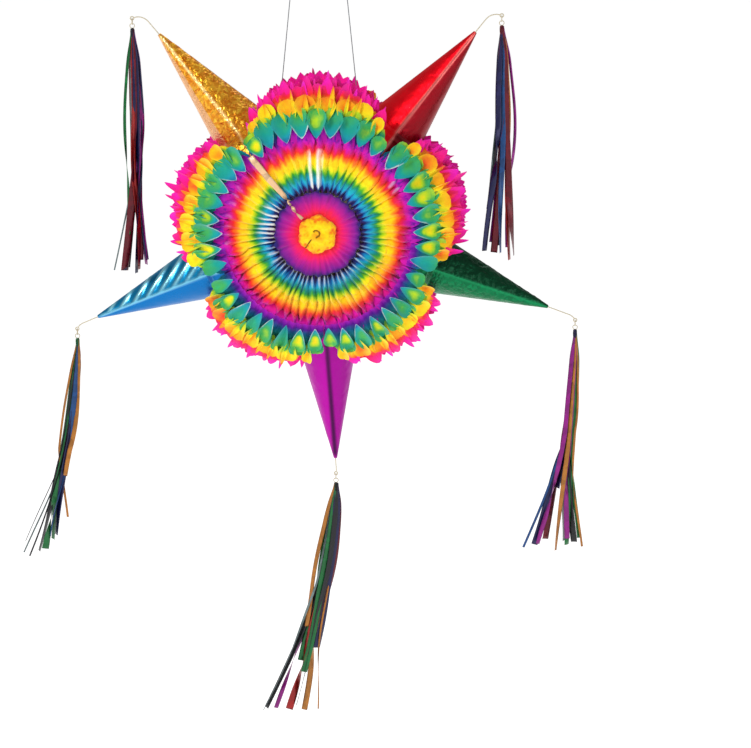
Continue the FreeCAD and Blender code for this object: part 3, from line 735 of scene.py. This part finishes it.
def addPetal(batch, side, angle, first, last, half, dyes, cup, lift, tip, pointOut=False, roll=0.0, blush=0.0,
             pale=0.0, curl=0.0):
    # one cupped scale from radius first to last, dyed from dyes[0] to dyes[1], tip being the lift of its inner end
    steps, across = 8, 6

    def cellAt(i, j):
        u, v = i / steps, -1 + 2 * j / across
        width = petalWidth(u, pointOut)
        r = mix(first, last, u)
        rise = lift + cup * v * v * width + tip * (1 - u) ** 2 + roll * v * width + curl * u * u
        edge = smooth(0.62, 1.0, abs(v)) * (1 - smooth(0.3, 0.7, u)) + 0.8 * (1 - smooth(0.02, 0.14, u))
        dye = mix(dyes[0], dyes[1], u) + blush * (1 - v * v) * smooth(0.1, 0.4, u) * (1 - smooth(0.55, 0.95, u))
        point = tissuePoint(side, angle + math.degrees(v * half * width / r), r, rise)
        return point, (min(0.99, dye / dyeSpan), 1 - min(1.0, pale * edge))

    addSheet(batch, *makeGrid(steps + 1, across + 1, cellAt), inward(side))


def addScales(batch, side, lobe, rng):
    start, end = lobes[lobe]
    middle, reach = (start + end) / 2, (end - start) / 2
    frill = fan["frill"][side]

    def vary(low, high=None):
        return rng.uniform(-low, low) if high is None else rng.uniform(low, high)

    def spread(kind, clear, shift):
        pitch = 360 / counts[kind]
        number = int(2 * (reach - clear) / pitch + 1)
        return [middle + (k - (number - 1) / 2 + shift) * pitch + vary(0.7) for k in range(number)]

    def petal(*shape):
        addPetal(batch, side, *shape)

    # the pointed ends of the folded ring, which show between the first scales
    points = round((end - start) / 360 * counts["ringPoints"])
    for k in range(points):
        angle = start + (k + 0.5) * (end - start) / points
        low = lowness(angle)
        petal(angle + vary(0.8), 112 + vary(2), 139 + 5 * low + vary(-4, 3), 8.0 + vary(1), (114, 128), 2.0,
              -2.0 - 3.4 * low, -11.0, True, vary(1.5))
    for name, row in rows.items():
        for angle in spread("scales", 3.0, row["shift"]):
            outer = min(row["to"], lobeEdge(angle, lobe) - row["gap"], veeEdge(angle, lobe)) + vary(2.0)
            near = min(angle - start, end - angle)
            if outer - row["from"] < 13 or near <= 2:
                continue
            shift = vary(3)
            small = min(1.0, 0.45 + (outer - row["from"]) / (row["to"] - row["from"]) * 0.55)
            if name == "yellow":
                small = min(small, 0.3 + 0.045 * (near - 3))
            small *= 1 - row["narrowLow"] * lowness(angle)
            petal(angle, row["from"] + vary(2.5), outer, (row["half"] + vary(1.2)) * small,
                  (row["dye"][0] + shift, row["dye"][1] + 1.4 * shift), row["cup"] * vary(0.7, 1.3),
                  row["lift"] + vary(0.8), row["tip"] * vary(0.6, 1.3), False, vary(4), rng.choice(row["spots"]),
                  vary(*row["pale"]) if name == "teal" else row["pale"][0], vary(0, 3))
    for angle in spread("scales", 6.0, 0.5):
        outer = min(163, lobeEdge(angle, lobe) - 22, veeEdge(angle, lobe) + 2) + vary(2)
        if outer > 148:
            petal(angle, 133, outer, 10.5 + vary(1), (146, 160 + vary(3)), 6.0, -0.5, 0.0, False, vary(3),
                  rng.choice((0, 4, 8)), 0.3, 1.0)
    # narrow folds that stand up between the yellow scales
    for angle in spread("standingFolds", 12.0, 0.25):
        first = 150 + vary(3)
        if first + 30 > lobeEdge(angle, lobe) - 8 or min(angle - start, end - angle) < 17:
            continue
        petal(angle + vary(1.5), first, first + 30 + vary(4), 3.4 + vary(1), (159, 178), 3.0, 3.0, -3.0, True, vary(2))
    # the rim: broad points, then thin ones between them
    for angle in spread("rimPoints", 10.5, 0.0):
        outer = lobeEdge(angle, lobe) + frill + vary(3)
        petal(angle, outer - 31, outer, 10.5 + vary(-2, 1.5), (178, 199 + vary(-5, 12)), 4.0, -3.5, -9.0, True,
              vary(4), 0.0, 0.1, vary(-2, 3))
    for angle in spread("rimThorns", 9.5, 0.3):
        outer = lobeEdge(angle, lobe) + frill + vary(-6, 7)
        petal(angle + vary(1), outer - 27, outer, 3.8 + vary(-1.4, 1.8), (186, 204 + vary(-6, 8)), 2.0,
              vary(-6, -1.5), -8.0, True, vary(3), 0.0, 0.0, vary(4))


def addEdgeBand(batch, side, lobe):
    # a zigzag frill that closes the space between the front and the back; the top one leaves the hanging lines free
    start, end = lobes[lobe]
    inner = fan["lineRoom"] if lobe == "top" else 0.0
    cols = 170

    def cellAt(i, j):
        angle = start + 12.5 + (end - start - 25.0) * j / cols
        y = mix(inner, 44.0, i / 7)
        r = lobeEdge(angle, lobe) - 30 + 7 * zigzag(angle, counts["edgeBand"]) - 22 * smooth(20, 46, y)
        r += 1.5 * ripple(angle * 4, i * 9, 5)
        mark = mix(200, 172, smooth(14, 44, y)) / dyeSpan
        return starPoint(angle, r, 0.0, side * y), (mark, 1.0), starPoint(angle, -fan["paper"]) - starCentre

    addSheet(batch, *makeGrid(8, cols + 1, cellAt))


def addFrills(batch, side, lobe, rng):
    start, end = lobes[lobe]
    cols = 190
    nearest = fan["lineRoom"] if lobe == "top" else 0.6
    for y0, short, dyeIn, dyeOut in frills:
        if y0 < nearest:
            continue
        waves, phase = rng.uniform(44, 52), rng.uniform(0, 6.28)

        def cellAt(i, j):
            share = i / 5
            angle = start + 10.5 + (end - start - 21.0) * j / cols
            outer = min(lobeEdge(angle, lobe), veeEdge(angle, lobe) + 14) - short
            outer += 3 * ripple(angle * 6, y0, 17) - 7 * zigzag(angle, counts["frillTeeth"], y0)
            wave = 4.6 * math.sin(math.radians(angle) * waves + phase) + 2.0 * ripple(angle * 8, y0, 19)
            point = starPoint(angle, mix(149.0, outer, share), 0.0, side * max(y0 + share * wave, nearest))
            return point, (mix(dyeIn, dyeOut + 4 * ripple(angle * 5, y0, 23), share) / dyeSpan, 1.0)

        addSheet(batch, *makeGrid(6, cols + 1, cellAt), inward(-side))


for side, sideName in ((-1, "front"), (1, "back")):
    for k, lobe in enumerate(lobes):
        rng = random.Random(100 + k + 10 * side)
        batch = newBatch()
        addPleats(batch, side, *lobes[lobe])
        addBacking(batch, side, lobe)
        addScales(batch, side, lobe, rng)
        addEdgeBand(batch, side, lobe)
        addFrills(batch, side, lobe, rng)
        buildPiece(f"{sideName}Fan_{lobe}", batch, [tissue], f"{sideName}_fan_{lobe}", sharp=34)
print("tissue fans ready")

# the middle of the front and the back: each disc's radius and depth, then each puff's radius and depth, in mm
centrePaper = {"front": {"rosette": (55.5, 84.0), "puff": (25.0, 95.1)},
               "back": {"rosette": (39.0, 79.0), "puff": (19.0, 88.1)}, "thick": 0.9, "puffThick": 1.0}


def puffMaterial():
    material, tree = newMaterial("yellowPuff", Specular_IOR_Level=0.25, Sheen_Weight=0.2, Roughness=0.75)
    reach, crease = meshMap(tree)
    fibre = useGroup(tree, paperFibre, Scale=0.9, Contrast=0.25)
    cloud = addNoise(tree, objectPlace(tree), 90.0, 4.0)
    shifted = addMath(tree, "MULTIPLY_ADD", addMath(tree, "SUBTRACT", cloud, 0.5), 0.8, reach)
    yellows = [(0.0, (0.95, 0.30, 0.0)), (0.2, (1.0, 0.50, 0.0)), (0.5, (1.0, 0.68, 0.0)), (0.82, (1.0, 0.52, 0.0)),
               (1.0, (0.92, 0.20, 0.0))]
    colour = addMix(tree, 1.0, addRamp(tree, shifted, yellows), fibre["Shade"], "MULTIPLY")
    # painted shade: the crease groove darkened to near black-brown
    colour = addMix(tree, crease, colour, (0.10, 0.02, 0.0, 1.0))
    height = addMath(tree, "ADD", fibre["Height"], addMath(tree, "MULTIPLY", cloud, 2.0))
    return feed(material, (height, 0.5, 0.0006), Base_Color=colour)


yellowPuff = puffMaterial()


def addRosette(batch, side, radius, depth):
    cols, steps = 320, 18

    def cellAt(i, j):
        angle, share = 360 * j / cols, i / steps
        edge = radius * (1 + 0.05 * ripple(angle * 2, 0, 9 + side)) - 1.6 * abs(math.sin(math.radians(angle * 12)))
        r = 6 + (edge - 6) * share
        soft = 3.8 * ripple(angle * 3, r * 1.5, 2 + side)
        soft += 1.5 * abs(math.sin(math.radians(angle * 15 + 30 * ripple(angle, r, 4))))
        fine = 0.8 * math.sin(math.radians(angle * 40 + 60 * ripple(angle, 0, 8))) * smooth(0.3, 0.9, share)
        y = depth - 2.0 + (soft + fine) * share + 1.6 * share * share
        dye = r * centrePaper["front"]["rosette"][0] / radius + 2.5 * ripple(angle * 4, r, 6)
        paleness = 0.35 * smooth(0.5, 1.0, share) * max(0.0, ripple(angle * 14, r * 0.4, 15))
        return starPoint(angle, r, 0.0, side * y), (dye / dyeSpan, 1.0 - paleness)

    addSheet(batch, *makeGrid(steps + 1, cols, cellAt), inward(side, centrePaper["thick"]), wrap=True)


def addPuff(batch, side, radius, top, base):
    # a crumpled six-sided cushion of paper with a curled crease in the middle and a slit to the lower left
    cols, steps = 96, 26
    scale = radius / 25

    def cellAt(i, j):
        share, angle = i / steps, 360 * j / cols
        a = math.radians(angle)
        edge = radius * (1 - 0.055 * math.cos(6 * a + 0.5) + 0.05 * ripple(angle * 2, 0, 21 + side)) - 0.8
        r = 0.3 + (edge - 0.3) * min(1.0, share * 1.18) ** 0.9
        x, z = r * math.cos(a), r * math.sin(a)
        crumple = 3.6 * noise.noise(Vector((x * 0.13, z * 0.13, 31)))
        crumple += 3.0 * (0.5 - abs(noise.noise(Vector((x * 0.22, z * 0.22, 37)))) * 2.2) * share
        # the crease: a hook over the middle, then a straight slit
        x, z = x / scale, z / scale
        hook = abs(math.hypot(x + 1, z - 2) - 4.2) if -100 < math.degrees(math.atan2(z - 2, x + 1)) < 150 else 9
        slit = abs(x + z * -0.62 + 4.4) if -17 < z < -5 else 9
        groove = 1 - smooth(0.3, 1.5, min(hook, slit))
        y = top - 1.6 - (share ** 3.2) * (top - base) + crumple * (1 - share ** 4) - 2.6 * groove
        # painted shade: the map's first value is pushed towards the orange edge colour in the crumple's hollows, and
        # its second carries the groove for the material to darken
        return starPoint(angle, r, 0.0, side * y), (min(1.0, share + 0.10 * max(0.0, 1.4 - crumple)), 0.9 * groove)

    addSheet(batch, *makeGrid(steps + 1, cols, cellAt), inward(side, centrePaper["puffThick"]), wrap=True)


for side, sideName in ((-1, "front"), (1, "back")):
    radius, depth = centrePaper[sideName]["rosette"]
    batch = newBatch()
    addRosette(batch, side, radius, depth)
    buildPiece(sideName + "Rosette", batch, [tissue], sideName + "_rosette")
    radius, top = centrePaper[sideName]["puff"]
    batch = newBatch()
    addPuff(batch, side, radius, top, depth - 1.5)
    buildPiece(sideName + "Puff", batch, [yellowPuff], sideName + "_puff")

# folded paper round the rosette on the lid, in mm; clearOfHinge is how high it may reach above the lid's middle
fringe = {"start": -66, "sweep": 312, "inner": 35.0, "outer": 45.0, "clearOfHinge": 37.5, "folds": 44, "paper": 0.5}


def addHatchFringe(batch):
    # open below for the pull tab
    cols, steps = 260, 6
    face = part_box("fill_hatch")[1][1] / mm

    def cellAt(i, j):
        angle = fringe["start"] + fringe["sweep"] * j / cols
        ridge = zigzag(angle, fringe["folds"])
        rim = min(fringe["outer"], fringe["clearOfHinge"] / max(0.1, math.sin(math.radians(angle))))
        r = mix(fringe["inner"], rim - 2.0 * (1 - ridge), i / steps)
        return starPoint(angle, r, 0.0, face + 0.6 + 2.2 * ridge), ((r * 1.3 + 3 * ridge) / dyeSpan, 1.0)

    addSheet(batch, *makeGrid(steps + 1, cols + 1, cellAt), inward(1, fringe["paper"]))


batch = newBatch()
addHatchFringe(batch)
buildPiece("hatchFringe", batch, [tissue], body="hatch", sharp=34)
print("rosettes ready")

# the strip down the front, in mm: it lies flat as far as twistFrom of its length, then turns over and over
ribbon = {"angle": 130.0, "outer": 131.0, "inner": 28.0, "widthOut": 8.0, "widthIn": 4.2, "turns": 1.5,
          "twistFrom": 0.58, "thick": 0.5}
goldRibbon = stripMaterial("goldRibbon", (0.86, 0.55, 0.30), 0.35, 0.38)


def addRibbon(batch):
    steps, across = 90, 4

    def cellAt(i, j):
        t = i / steps
        r = mix(ribbon["outer"], ribbon["inner"], t)
        depth = faceDepth(r) + 2.6 if r > 60 else mix(91.5, faceDepth(60) + 2.6, smooth(26, 60, r))
        depth += 1.2 * math.sin(t * 23)
        turn = fullTurn * ribbon["turns"] * smooth(ribbon["twistFrom"], 1.0, t) + 0.18 * math.sin(t * 17)
        bend = 1.6 * math.sin(t * 9) * smooth(0.5, 0.8, t)
        share = -1 + 2 * j / across
        v = share * mix(ribbon["widthOut"], ribbon["widthIn"], smooth(0.3, 1.0, t)) / 2
        depth += 0.55 * abs(v) * abs(math.sin(turn)) + v * math.sin(turn) * 0.8
        return starPoint(ribbon["angle"], r, v * math.cos(turn) + bend, -depth), (t, share)

    thick = axisY * ribbon["thick"] * mm + (starPoint(ribbon["angle"], 0, ribbon["thick"] / 2) - starCentre)
    addSheet(batch, *makeGrid(steps + 1, across + 1, cellAt), thick)


batch = newBatch()
addRibbon(batch)
buildPiece("goldStreamer", batch, [goldRibbon], "gold_streamer")

# the foil over the card cones, in mm; slope is the half width gained for each mm in from the tip
foil = {"tipReach": 326.0, "slope": 0.2309, "depthShare": 0.92, "offset": 0.6, "bulge": 0.6, "wall": 0.3,
        "tip": 319.0, "base": 120.0, "skirt": 3.0, "flareFrom": 160, "flare": 17,
        "ribPitch": 10.5, "ribTilt": 0.585}
# crinkle: how high the creases stand on the two flanks; ribs: how high the pressed ribs stand, their crests also
# getting a
#  painted highlight; split: where across the cone the second colour starts; crease: how strongly the painted highlight
#  along the front crease is drawn (a dark line on the purple cone), and how wide
coneLooks = {
    "red": {"crinkle": (0.25, 0.25), "ribs": 0.0, "split": 0.0, "crease": (0.9, 2.8)},
    "gold": {"crinkle": (0.5, 0.9), "ribs": 0.0, "split": 0.55, "crease": (0.8, 2.8)},
    "blue": {"crinkle": (0.25, 0.2), "ribs": 2.0, "split": 0.0, "crease": (0.4, 2.8)},
    "purple": {"crinkle": (0.35, 0.35), "ribs": 0.0, "split": 0.0, "crease": (1.0, 5.0)},
    "green": {"crinkle": (1.3, 0.5), "ribs": 0.0, "split": 0.0, "crease": (0.5, 2.8)},
}
# main colour, the other flank's, the flecks' and the crease's, then metal, roughness, crinkle and crackle; on all but
# the
#  gold cone the two flank colours are a lit and a painted-shade copy of one foil, and the crease's is a painted
#  highlight
foils = {
    "red": ((0.24, 0.0, 0.006), (0.84, 0.0, 0.008), (0.3, 0.0, 0.0), (1.0, 0.22, 0.20), 0.86, 0.25, 0.16),
    "gold": ((1.0, 0.58, 0.04), (0.86, 0.48, 0.22), (0.66, 0.17, 0.0), (1.0, 0.74, 0.32), 0.72, 0.24, 0.7, 1.0),
    "blue": ((0.0, 0.20, 0.42), (0.0, 0.15, 0.45), (0.0, 0.1, 0.3), (0.40, 0.90, 1.0), 0.8, 0.25, 0.12),
    "purple": ((0.42, 0.0, 0.32), (0.34, 0.0, 0.27), (0.2, 0.0, 0.2), (0.06, 0.0, 0.06), 0.82, 0.28, 0.16),
    "green": ((0.0, 0.21, 0.07), (0.0, 0.055, 0.02), (0.0, 0.02, 0.006), (0.01, 0.28, 0.10), 0.84, 0.26, 0.4, 0.5),
}


def domeDepth(r):
    # the ball's face under the tissue: how far it stands from the middle plane
    return 48 + 26 * (1 - min(1.0, r / rimRadius) ** 2)


def coneSection(r, part):
    # part runs from 0 to 4: back crease, positive side, front crease, negative side; across and depth in mm
    width = (foil["tipReach"] - r) * foil["slope"] + foil["offset"]
    depth = (foil["tipReach"] - r) * foil["slope"] * foil["depthShare"] + foil["offset"]
    quarter = int(part) % 4
    # s is 0 at the front or back crease and 1 at the side crease
    s = part - int(part)
    if quarter % 2:
        s = 1 - s
    across = mix(s, math.sin(s * math.pi / 2), foil["bulge"])
    deep = mix(1 - s, math.cos(s * math.pi / 2), foil["bulge"])
    if r < foil["flareFrom"]:
        # the base opens over the ball's face
        width += foil["flare"] * smooth(157, 146, r)
        deep = deep ** mix(1.0, 0.08, smooth(159, 150, r))
        depth = mix(depth, max(depth, domeDepth(r) + foil["skirt"]), smooth(foil["flareFrom"], 150, r))
    return (1 if quarter < 2 else -1) * across * width, (-1 if quarter in (1, 2) else 1) * deep * depth


def addCone(batch, name):
    look, angle = coneLooks[name], cones[name]
    strength, halfCrease = look["crease"]
    steps, cols = 120, 96

    def cellAt(i, j):
        r = mix(foil["base"], foil["tip"], (i / steps) ** 0.9)
        part = 4 * j / cols
        across, deep = coneSection(r, part)
        positive = int(part) < 2
        inside = math.sin(math.pi * (part - int(part))) ** 0.5 * smooth(322, 290, r)
        at = Vector((across * 0.09, r * 0.07, deep * 0.09 + angle))
        rough = look["crinkle"][0 if positive else 1] * inside * (1 + noise.noise(at) * 1.2 + 0.8 * noise.noise(at * 2.7))
        # painted highlight along the front crease, fading out at the tip (a dark line on the purple cone)
        drawn = (1 - smooth(0.6, halfCrease, abs(across))) * (deep < 0) * smooth(322, 310, r)
        pale = 1 - strength * drawn
        if look["ribs"] and not positive and deep < 0:
            tilt = foil["ribTilt"]
            run = (across * math.cos(tilt) - r * math.sin(tilt)) / foil["ribPitch"]
            wave = (0.5 + 0.5 * math.cos(fullTurn * run)) ** 3
            rough += look["ribs"] * wave * inside * smooth(300, 250, r)
            # painted highlight on the crests of the pressed ribs
            pale = min(pale, 1 - wave * inside)
        scale = 1 + max(0.0, rough) / max(2.0, math.hypot(across, deep))
        point = starPoint(angle, r, across * scale, deep * scale)
        flank = 1.0 if across > look["split"] * (foil["tipReach"] - r) * foil["slope"] else 0.0
        wall = (starPoint(angle, r) - point) * (foil["wall"] / max(1.2, math.hypot(across, deep)))
        return point, (flank, pale), wall

    addSheet(batch, *makeGrid(steps + 1, cols, cellAt), wrap=True)


for name in cones:
    batch = newBatch()
    addCone(batch, name)
    cover = foilMaterial(name + "Foil", *foils[name])
    buildPiece(name + "FoilCone", batch, [cover], name + "_cone_foil", sharp=30)
    for part, material in (("_cone_card", greyCard), ("_cone_stem", paleThread), ("_tie_loop", paleThread)):
        dress(name + part, material)
print("cones ready")

# the tassels' films, bindings and rings, in mm
tassel = {"wallThick": 0.25, "headRadius": 2.4, "wraps": 9, "wrapThread": 0.5, "ringRadius": 3.0, "halfDepth": 7.0,
          "start": 10.5, "shortOfBox": 1.5}
stripColours = {
    "maroon": (0.15, 0.0, 0.012), "green": (0.0, 0.15, 0.03), "blue": (0.005, 0.06, 0.22), "purple": (0.28, 0.0, 0.22),
    "gold": (0.46, 0.17, 0.02), "black": (0.008, 0.008, 0.012), "red": (0.34, 0.005, 0.004),
    "silver": (0.16, 0.22, 0.22), "teal": (0.0, 0.13, 0.17), "navy": (0.008, 0.008, 0.075),
}
stripMaterials = {name: stripMaterial(name + "Film", colour) for name, colour in stripColours.items()}
# for each tassel: lean, extra length, where it starts to open, then each strip: colour, width, place in the bundle,
# place of its end, bulge, share of the length
tassels = {
    "red": (2.0, 9.0, 0.42, [
        ("navy", 8, -2, -20, -3, 0.96), ("maroon", 9, 0, -7, 1, 0.97), ("purple", 7, 2, -13, 1, 0.93),
        ("silver", 2.4, -3, -30, -3, 0.78), ("gold", 6, 5, 8, 4, 0.6), ("red", 8, 3, 15, 3, 1.0),
        ("purple", 4, 8, 12, 9, 0.95), ("blue", 7, 1, 2, 0, 0.97), ("black", 8, -1, -2, 0, 0.94),
        ("maroon", 9, 3, 20, 3, 0.98), ("black", 6, -2, -24, -1, 0.93)]),
    "gold": (-2.0, 9.0, 0.6, [
        ("green", 4, -5, -9, -7, 0.84), ("black", 8, -2, -13, 0, 0.98), ("maroon", 11, -1, -15, 1, 0.99),
        ("maroon", 11, 2, 0, 3, 0.97), ("navy", 9, 3, 1, 2, 1.0), ("purple", 8, 5, 11, 4, 0.97),
        ("red", 7, 1, 3, 0, 0.985), ("navy", 5, 6, 14, 5, 0.95), ("silver", 2.2, -2, -30, -1, 0.99),
        ("maroon", 7, 3, 6, 4, 0.95)]),
    "blue": (-50.0, 0.0, 0.5, [
        ("gold", 6, 3, -22, 6, 0.62), ("green", 10, 1, -54, 1, 0.97), ("green", 8, -2, -44, -1, 0.93),
        ("navy", 8, 3, -38, 2, 0.90), ("black", 8, -1, -62, 0, 0.985), ("blue", 7, 2, -48, 3, 0.9),
        ("red", 9, 2, -42, 2, 0.6), ("maroon", 8, 0, -60, 0, 0.7), ("black", 2.2, 0, -88, -2, 0.93),
        ("silver", 2.0, 0, -80, -2, 0.99), ("black", 2.4, 1, -72, 0, 1.0), ("gold", 3, -4, -10, -6, 0.82)]),
    "purple": (-58.0, 0.0, 0.42, [
        ("silver", 3, -4, -103, -1, 0.99), ("black", 7, -3, -97, 0, 0.985), ("purple", 6, -2, -84, 1, 0.995),
        ("gold", 6, -6, -60, -7, 0.62), ("green", 12, -2, -66, -1, 0.78), ("green", 9, 0, -56, 1, 0.82),
        ("navy", 11, 4, -42, 5, 0.72), ("maroon", 9, 6, -50, 6, 0.7), ("red", 10, 1, -65, 2, 0.99),
        ("gold", 8, 2, -45, 2, 1.0), ("black", 7, 3, -58, 3, 0.97), ("gold", 2.6, 4, -27, 5, 0.995)]),
    "green": (-24.0, 10.0, 0.45, [
        ("purple", 6, -2, -46, -1, 0.97), ("navy", 9, -1, -52, 0, 0.98), ("maroon", 9, 0, -38, 0, 0.96),
        ("blue", 3.5, -1, -64, -2, 0.99), ("black", 9, 1, 4, 1, 0.97), ("gold", 6, 1, -20, 1, 1.0),
        ("green", 9, 3, -6, 5, 0.98), ("black", 9, 0, -12, 0, 0.97), ("purple", 7, 1, -4, 2, 0.95),
        ("navy", 9, 1, -30, 1, 0.72), ("gold", 3, 4, 14, 7, 0.985), ("green", 6, 2, 12, 5, 0.95)]),
}


def addStrip(batch, top, fall, lean, opening, strip, depth, mat, rng):
    # one ribbon: laid flat in the bundle, then swinging out to its own place, with a slow turn on the way down
    steps = 64
    colour, width, seat, end, bulge, share = strip
    turn = rng.choice((0.25, 0.45, 0.9, 1.05)) * rng.choice((-1, 1))
    when, phase = rng.uniform(0.45, 0.85), rng.uniform(0, 6.28)
    beats, wave = rng.uniform(0.9, 1.8), rng.uniform(0.8, 2.2)
    path, rolls = [], []
    for i in range(steps + 1):
        t = share * i / steps
        swing = max(0.0, (t - opening) / (1 - opening)) ** 1.25
        x = lean * t ** 1.25 + seat * smooth(-0.08, 0.16, t) * (1 - swing) + (end - lean) * swing
        x += bulge * math.sin(math.pi * min(1.0, t * 1.25)) ** 2
        x += wave * math.sin(beats * fullTurn * t + phase) * smooth(0.1, 0.6, t)
        y = depth * mix(0.25, 1.0, smooth(0.0, 0.5, t))
        y += 0.8 * wave * math.cos(beats * 1.7 * math.pi * t + phase) * smooth(0.05, 0.5, t)
        path.append(top + Vector((x, y, -fall * t)) * mm)
        rolls.append(0.5 * math.sin(2.3 * t * beats + phase) + turn * math.pi * smooth(when - 0.22, when + 0.22, t))
    grid, uvs, offsets = [], [], []
    for i, point in enumerate(path):
        t = i / steps
        along = (path[min(i + 1, steps)] - path[max(i - 1, 0)]).normalized()
        flat = Vector((math.cos(rolls[i]), math.sin(rolls[i]), 0))
        flat = (flat - along * flat.dot(along)).normalized()
        face = along.cross(flat)
        half = width / 2 * mix(0.38, 1.0, smooth(0.0, 0.14, t))
        bow = 0.7 * math.sin(3 * t + phase)
        grid.append([point + (flat * v * half + face * (v * v * bow)) * mm for v in (-1, -0.5, 0, 0.5, 1)])
        uvs.append([(0.25 * j, t) for j in range(5)])
        offsets.append([face * tassel["wallThick"] * mm] * 5)
    addSheet(batch, grid, uvs, offsets, mat)


def tasselHead(name):
    # a hanging ring, and the binding wound round the strips' ends
    low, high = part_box(name + "_tassel_head")
    middle = middleOf(name + "_tassel_head")
    ringRadius, core = tassel["ringRadius"] * mm, tassel["headRadius"] * mm
    ringCentre = Vector((middle.x, middle.y, high[2] - ringRadius - 0.5 * mm))
    top = ringCentre.z - ringRadius
    length = top - low[2]
    batch = newBatch()
    ring = circlePath(ringCentre, axisX, axisZ, ringRadius, 40)
    for k in range(2):
        addTube(batch, strandPath(ring, 0.28 * mm, 2.2 * mm, math.pi * k), 0.34 * mm, 6, 0, True)
    steps = tassel["wraps"] * 14
    wrap = []
    for k in range(steps + 1):
        t = k / steps
        a = fullTurn * tassel["wraps"] * t
        r = core * (0.80 + 0.20 * math.sin(math.pi * min(1.0, t * 1.15)) ** 0.5)
        z = top - 0.6 * mm - t * (length - 1.2 * mm)
        wrap.append(Vector((middle.x, middle.y, z)) + Vector((math.cos(a), math.sin(a), 0)) * r)
    addTube(batch, wrap, tassel["wrapThread"] * mm, 6, 1)
    profile = ((0, 0.35), (0.1, 0.72), (0.35, 0.9), (0.7, 0.9), (1.0, 0.8))
    addTube(batch, [Vector((middle.x, middle.y, top + 0.3 * mm - length * q)) for q, _ in profile],
            [core * q for _, q in profile], 14, 1)
    return batch, Vector((middle.x, middle.y, low[2]))


for k, (name, (lean, extra, opening, strips)) in enumerate(tassels.items()):
    batch, foot = tasselHead(name)
    headFinish = [paleThread, stripMaterials[strips[1][0]]]
    buildPiece(name + "TasselHead", batch, headFinish, name + "_tassel_head")
    rng = random.Random(500 + k)
    used = list(dict.fromkeys(strip[0] for strip in strips))
    top = foot + axisZ * tassel["start"] * mm
    node = name + "_tassel_strips"
    fall = (top.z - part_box(node)[0][2]) / mm - tassel["shortOfBox"] + extra
    batch = newBatch()
    for n, strip in enumerate(strips):
        depth = (-1 + 2 * ((n * 5) % len(strips) + 0.5) / len(strips)) * tassel["halfDepth"]
        addStrip(batch, top, fall, lean, opening, strip, depth, used.index(strip[0]), rng)
    hung = buildPiece(name + "TasselStrips", batch, [stripMaterials[c] for c in used], node)
print("tassels ready")
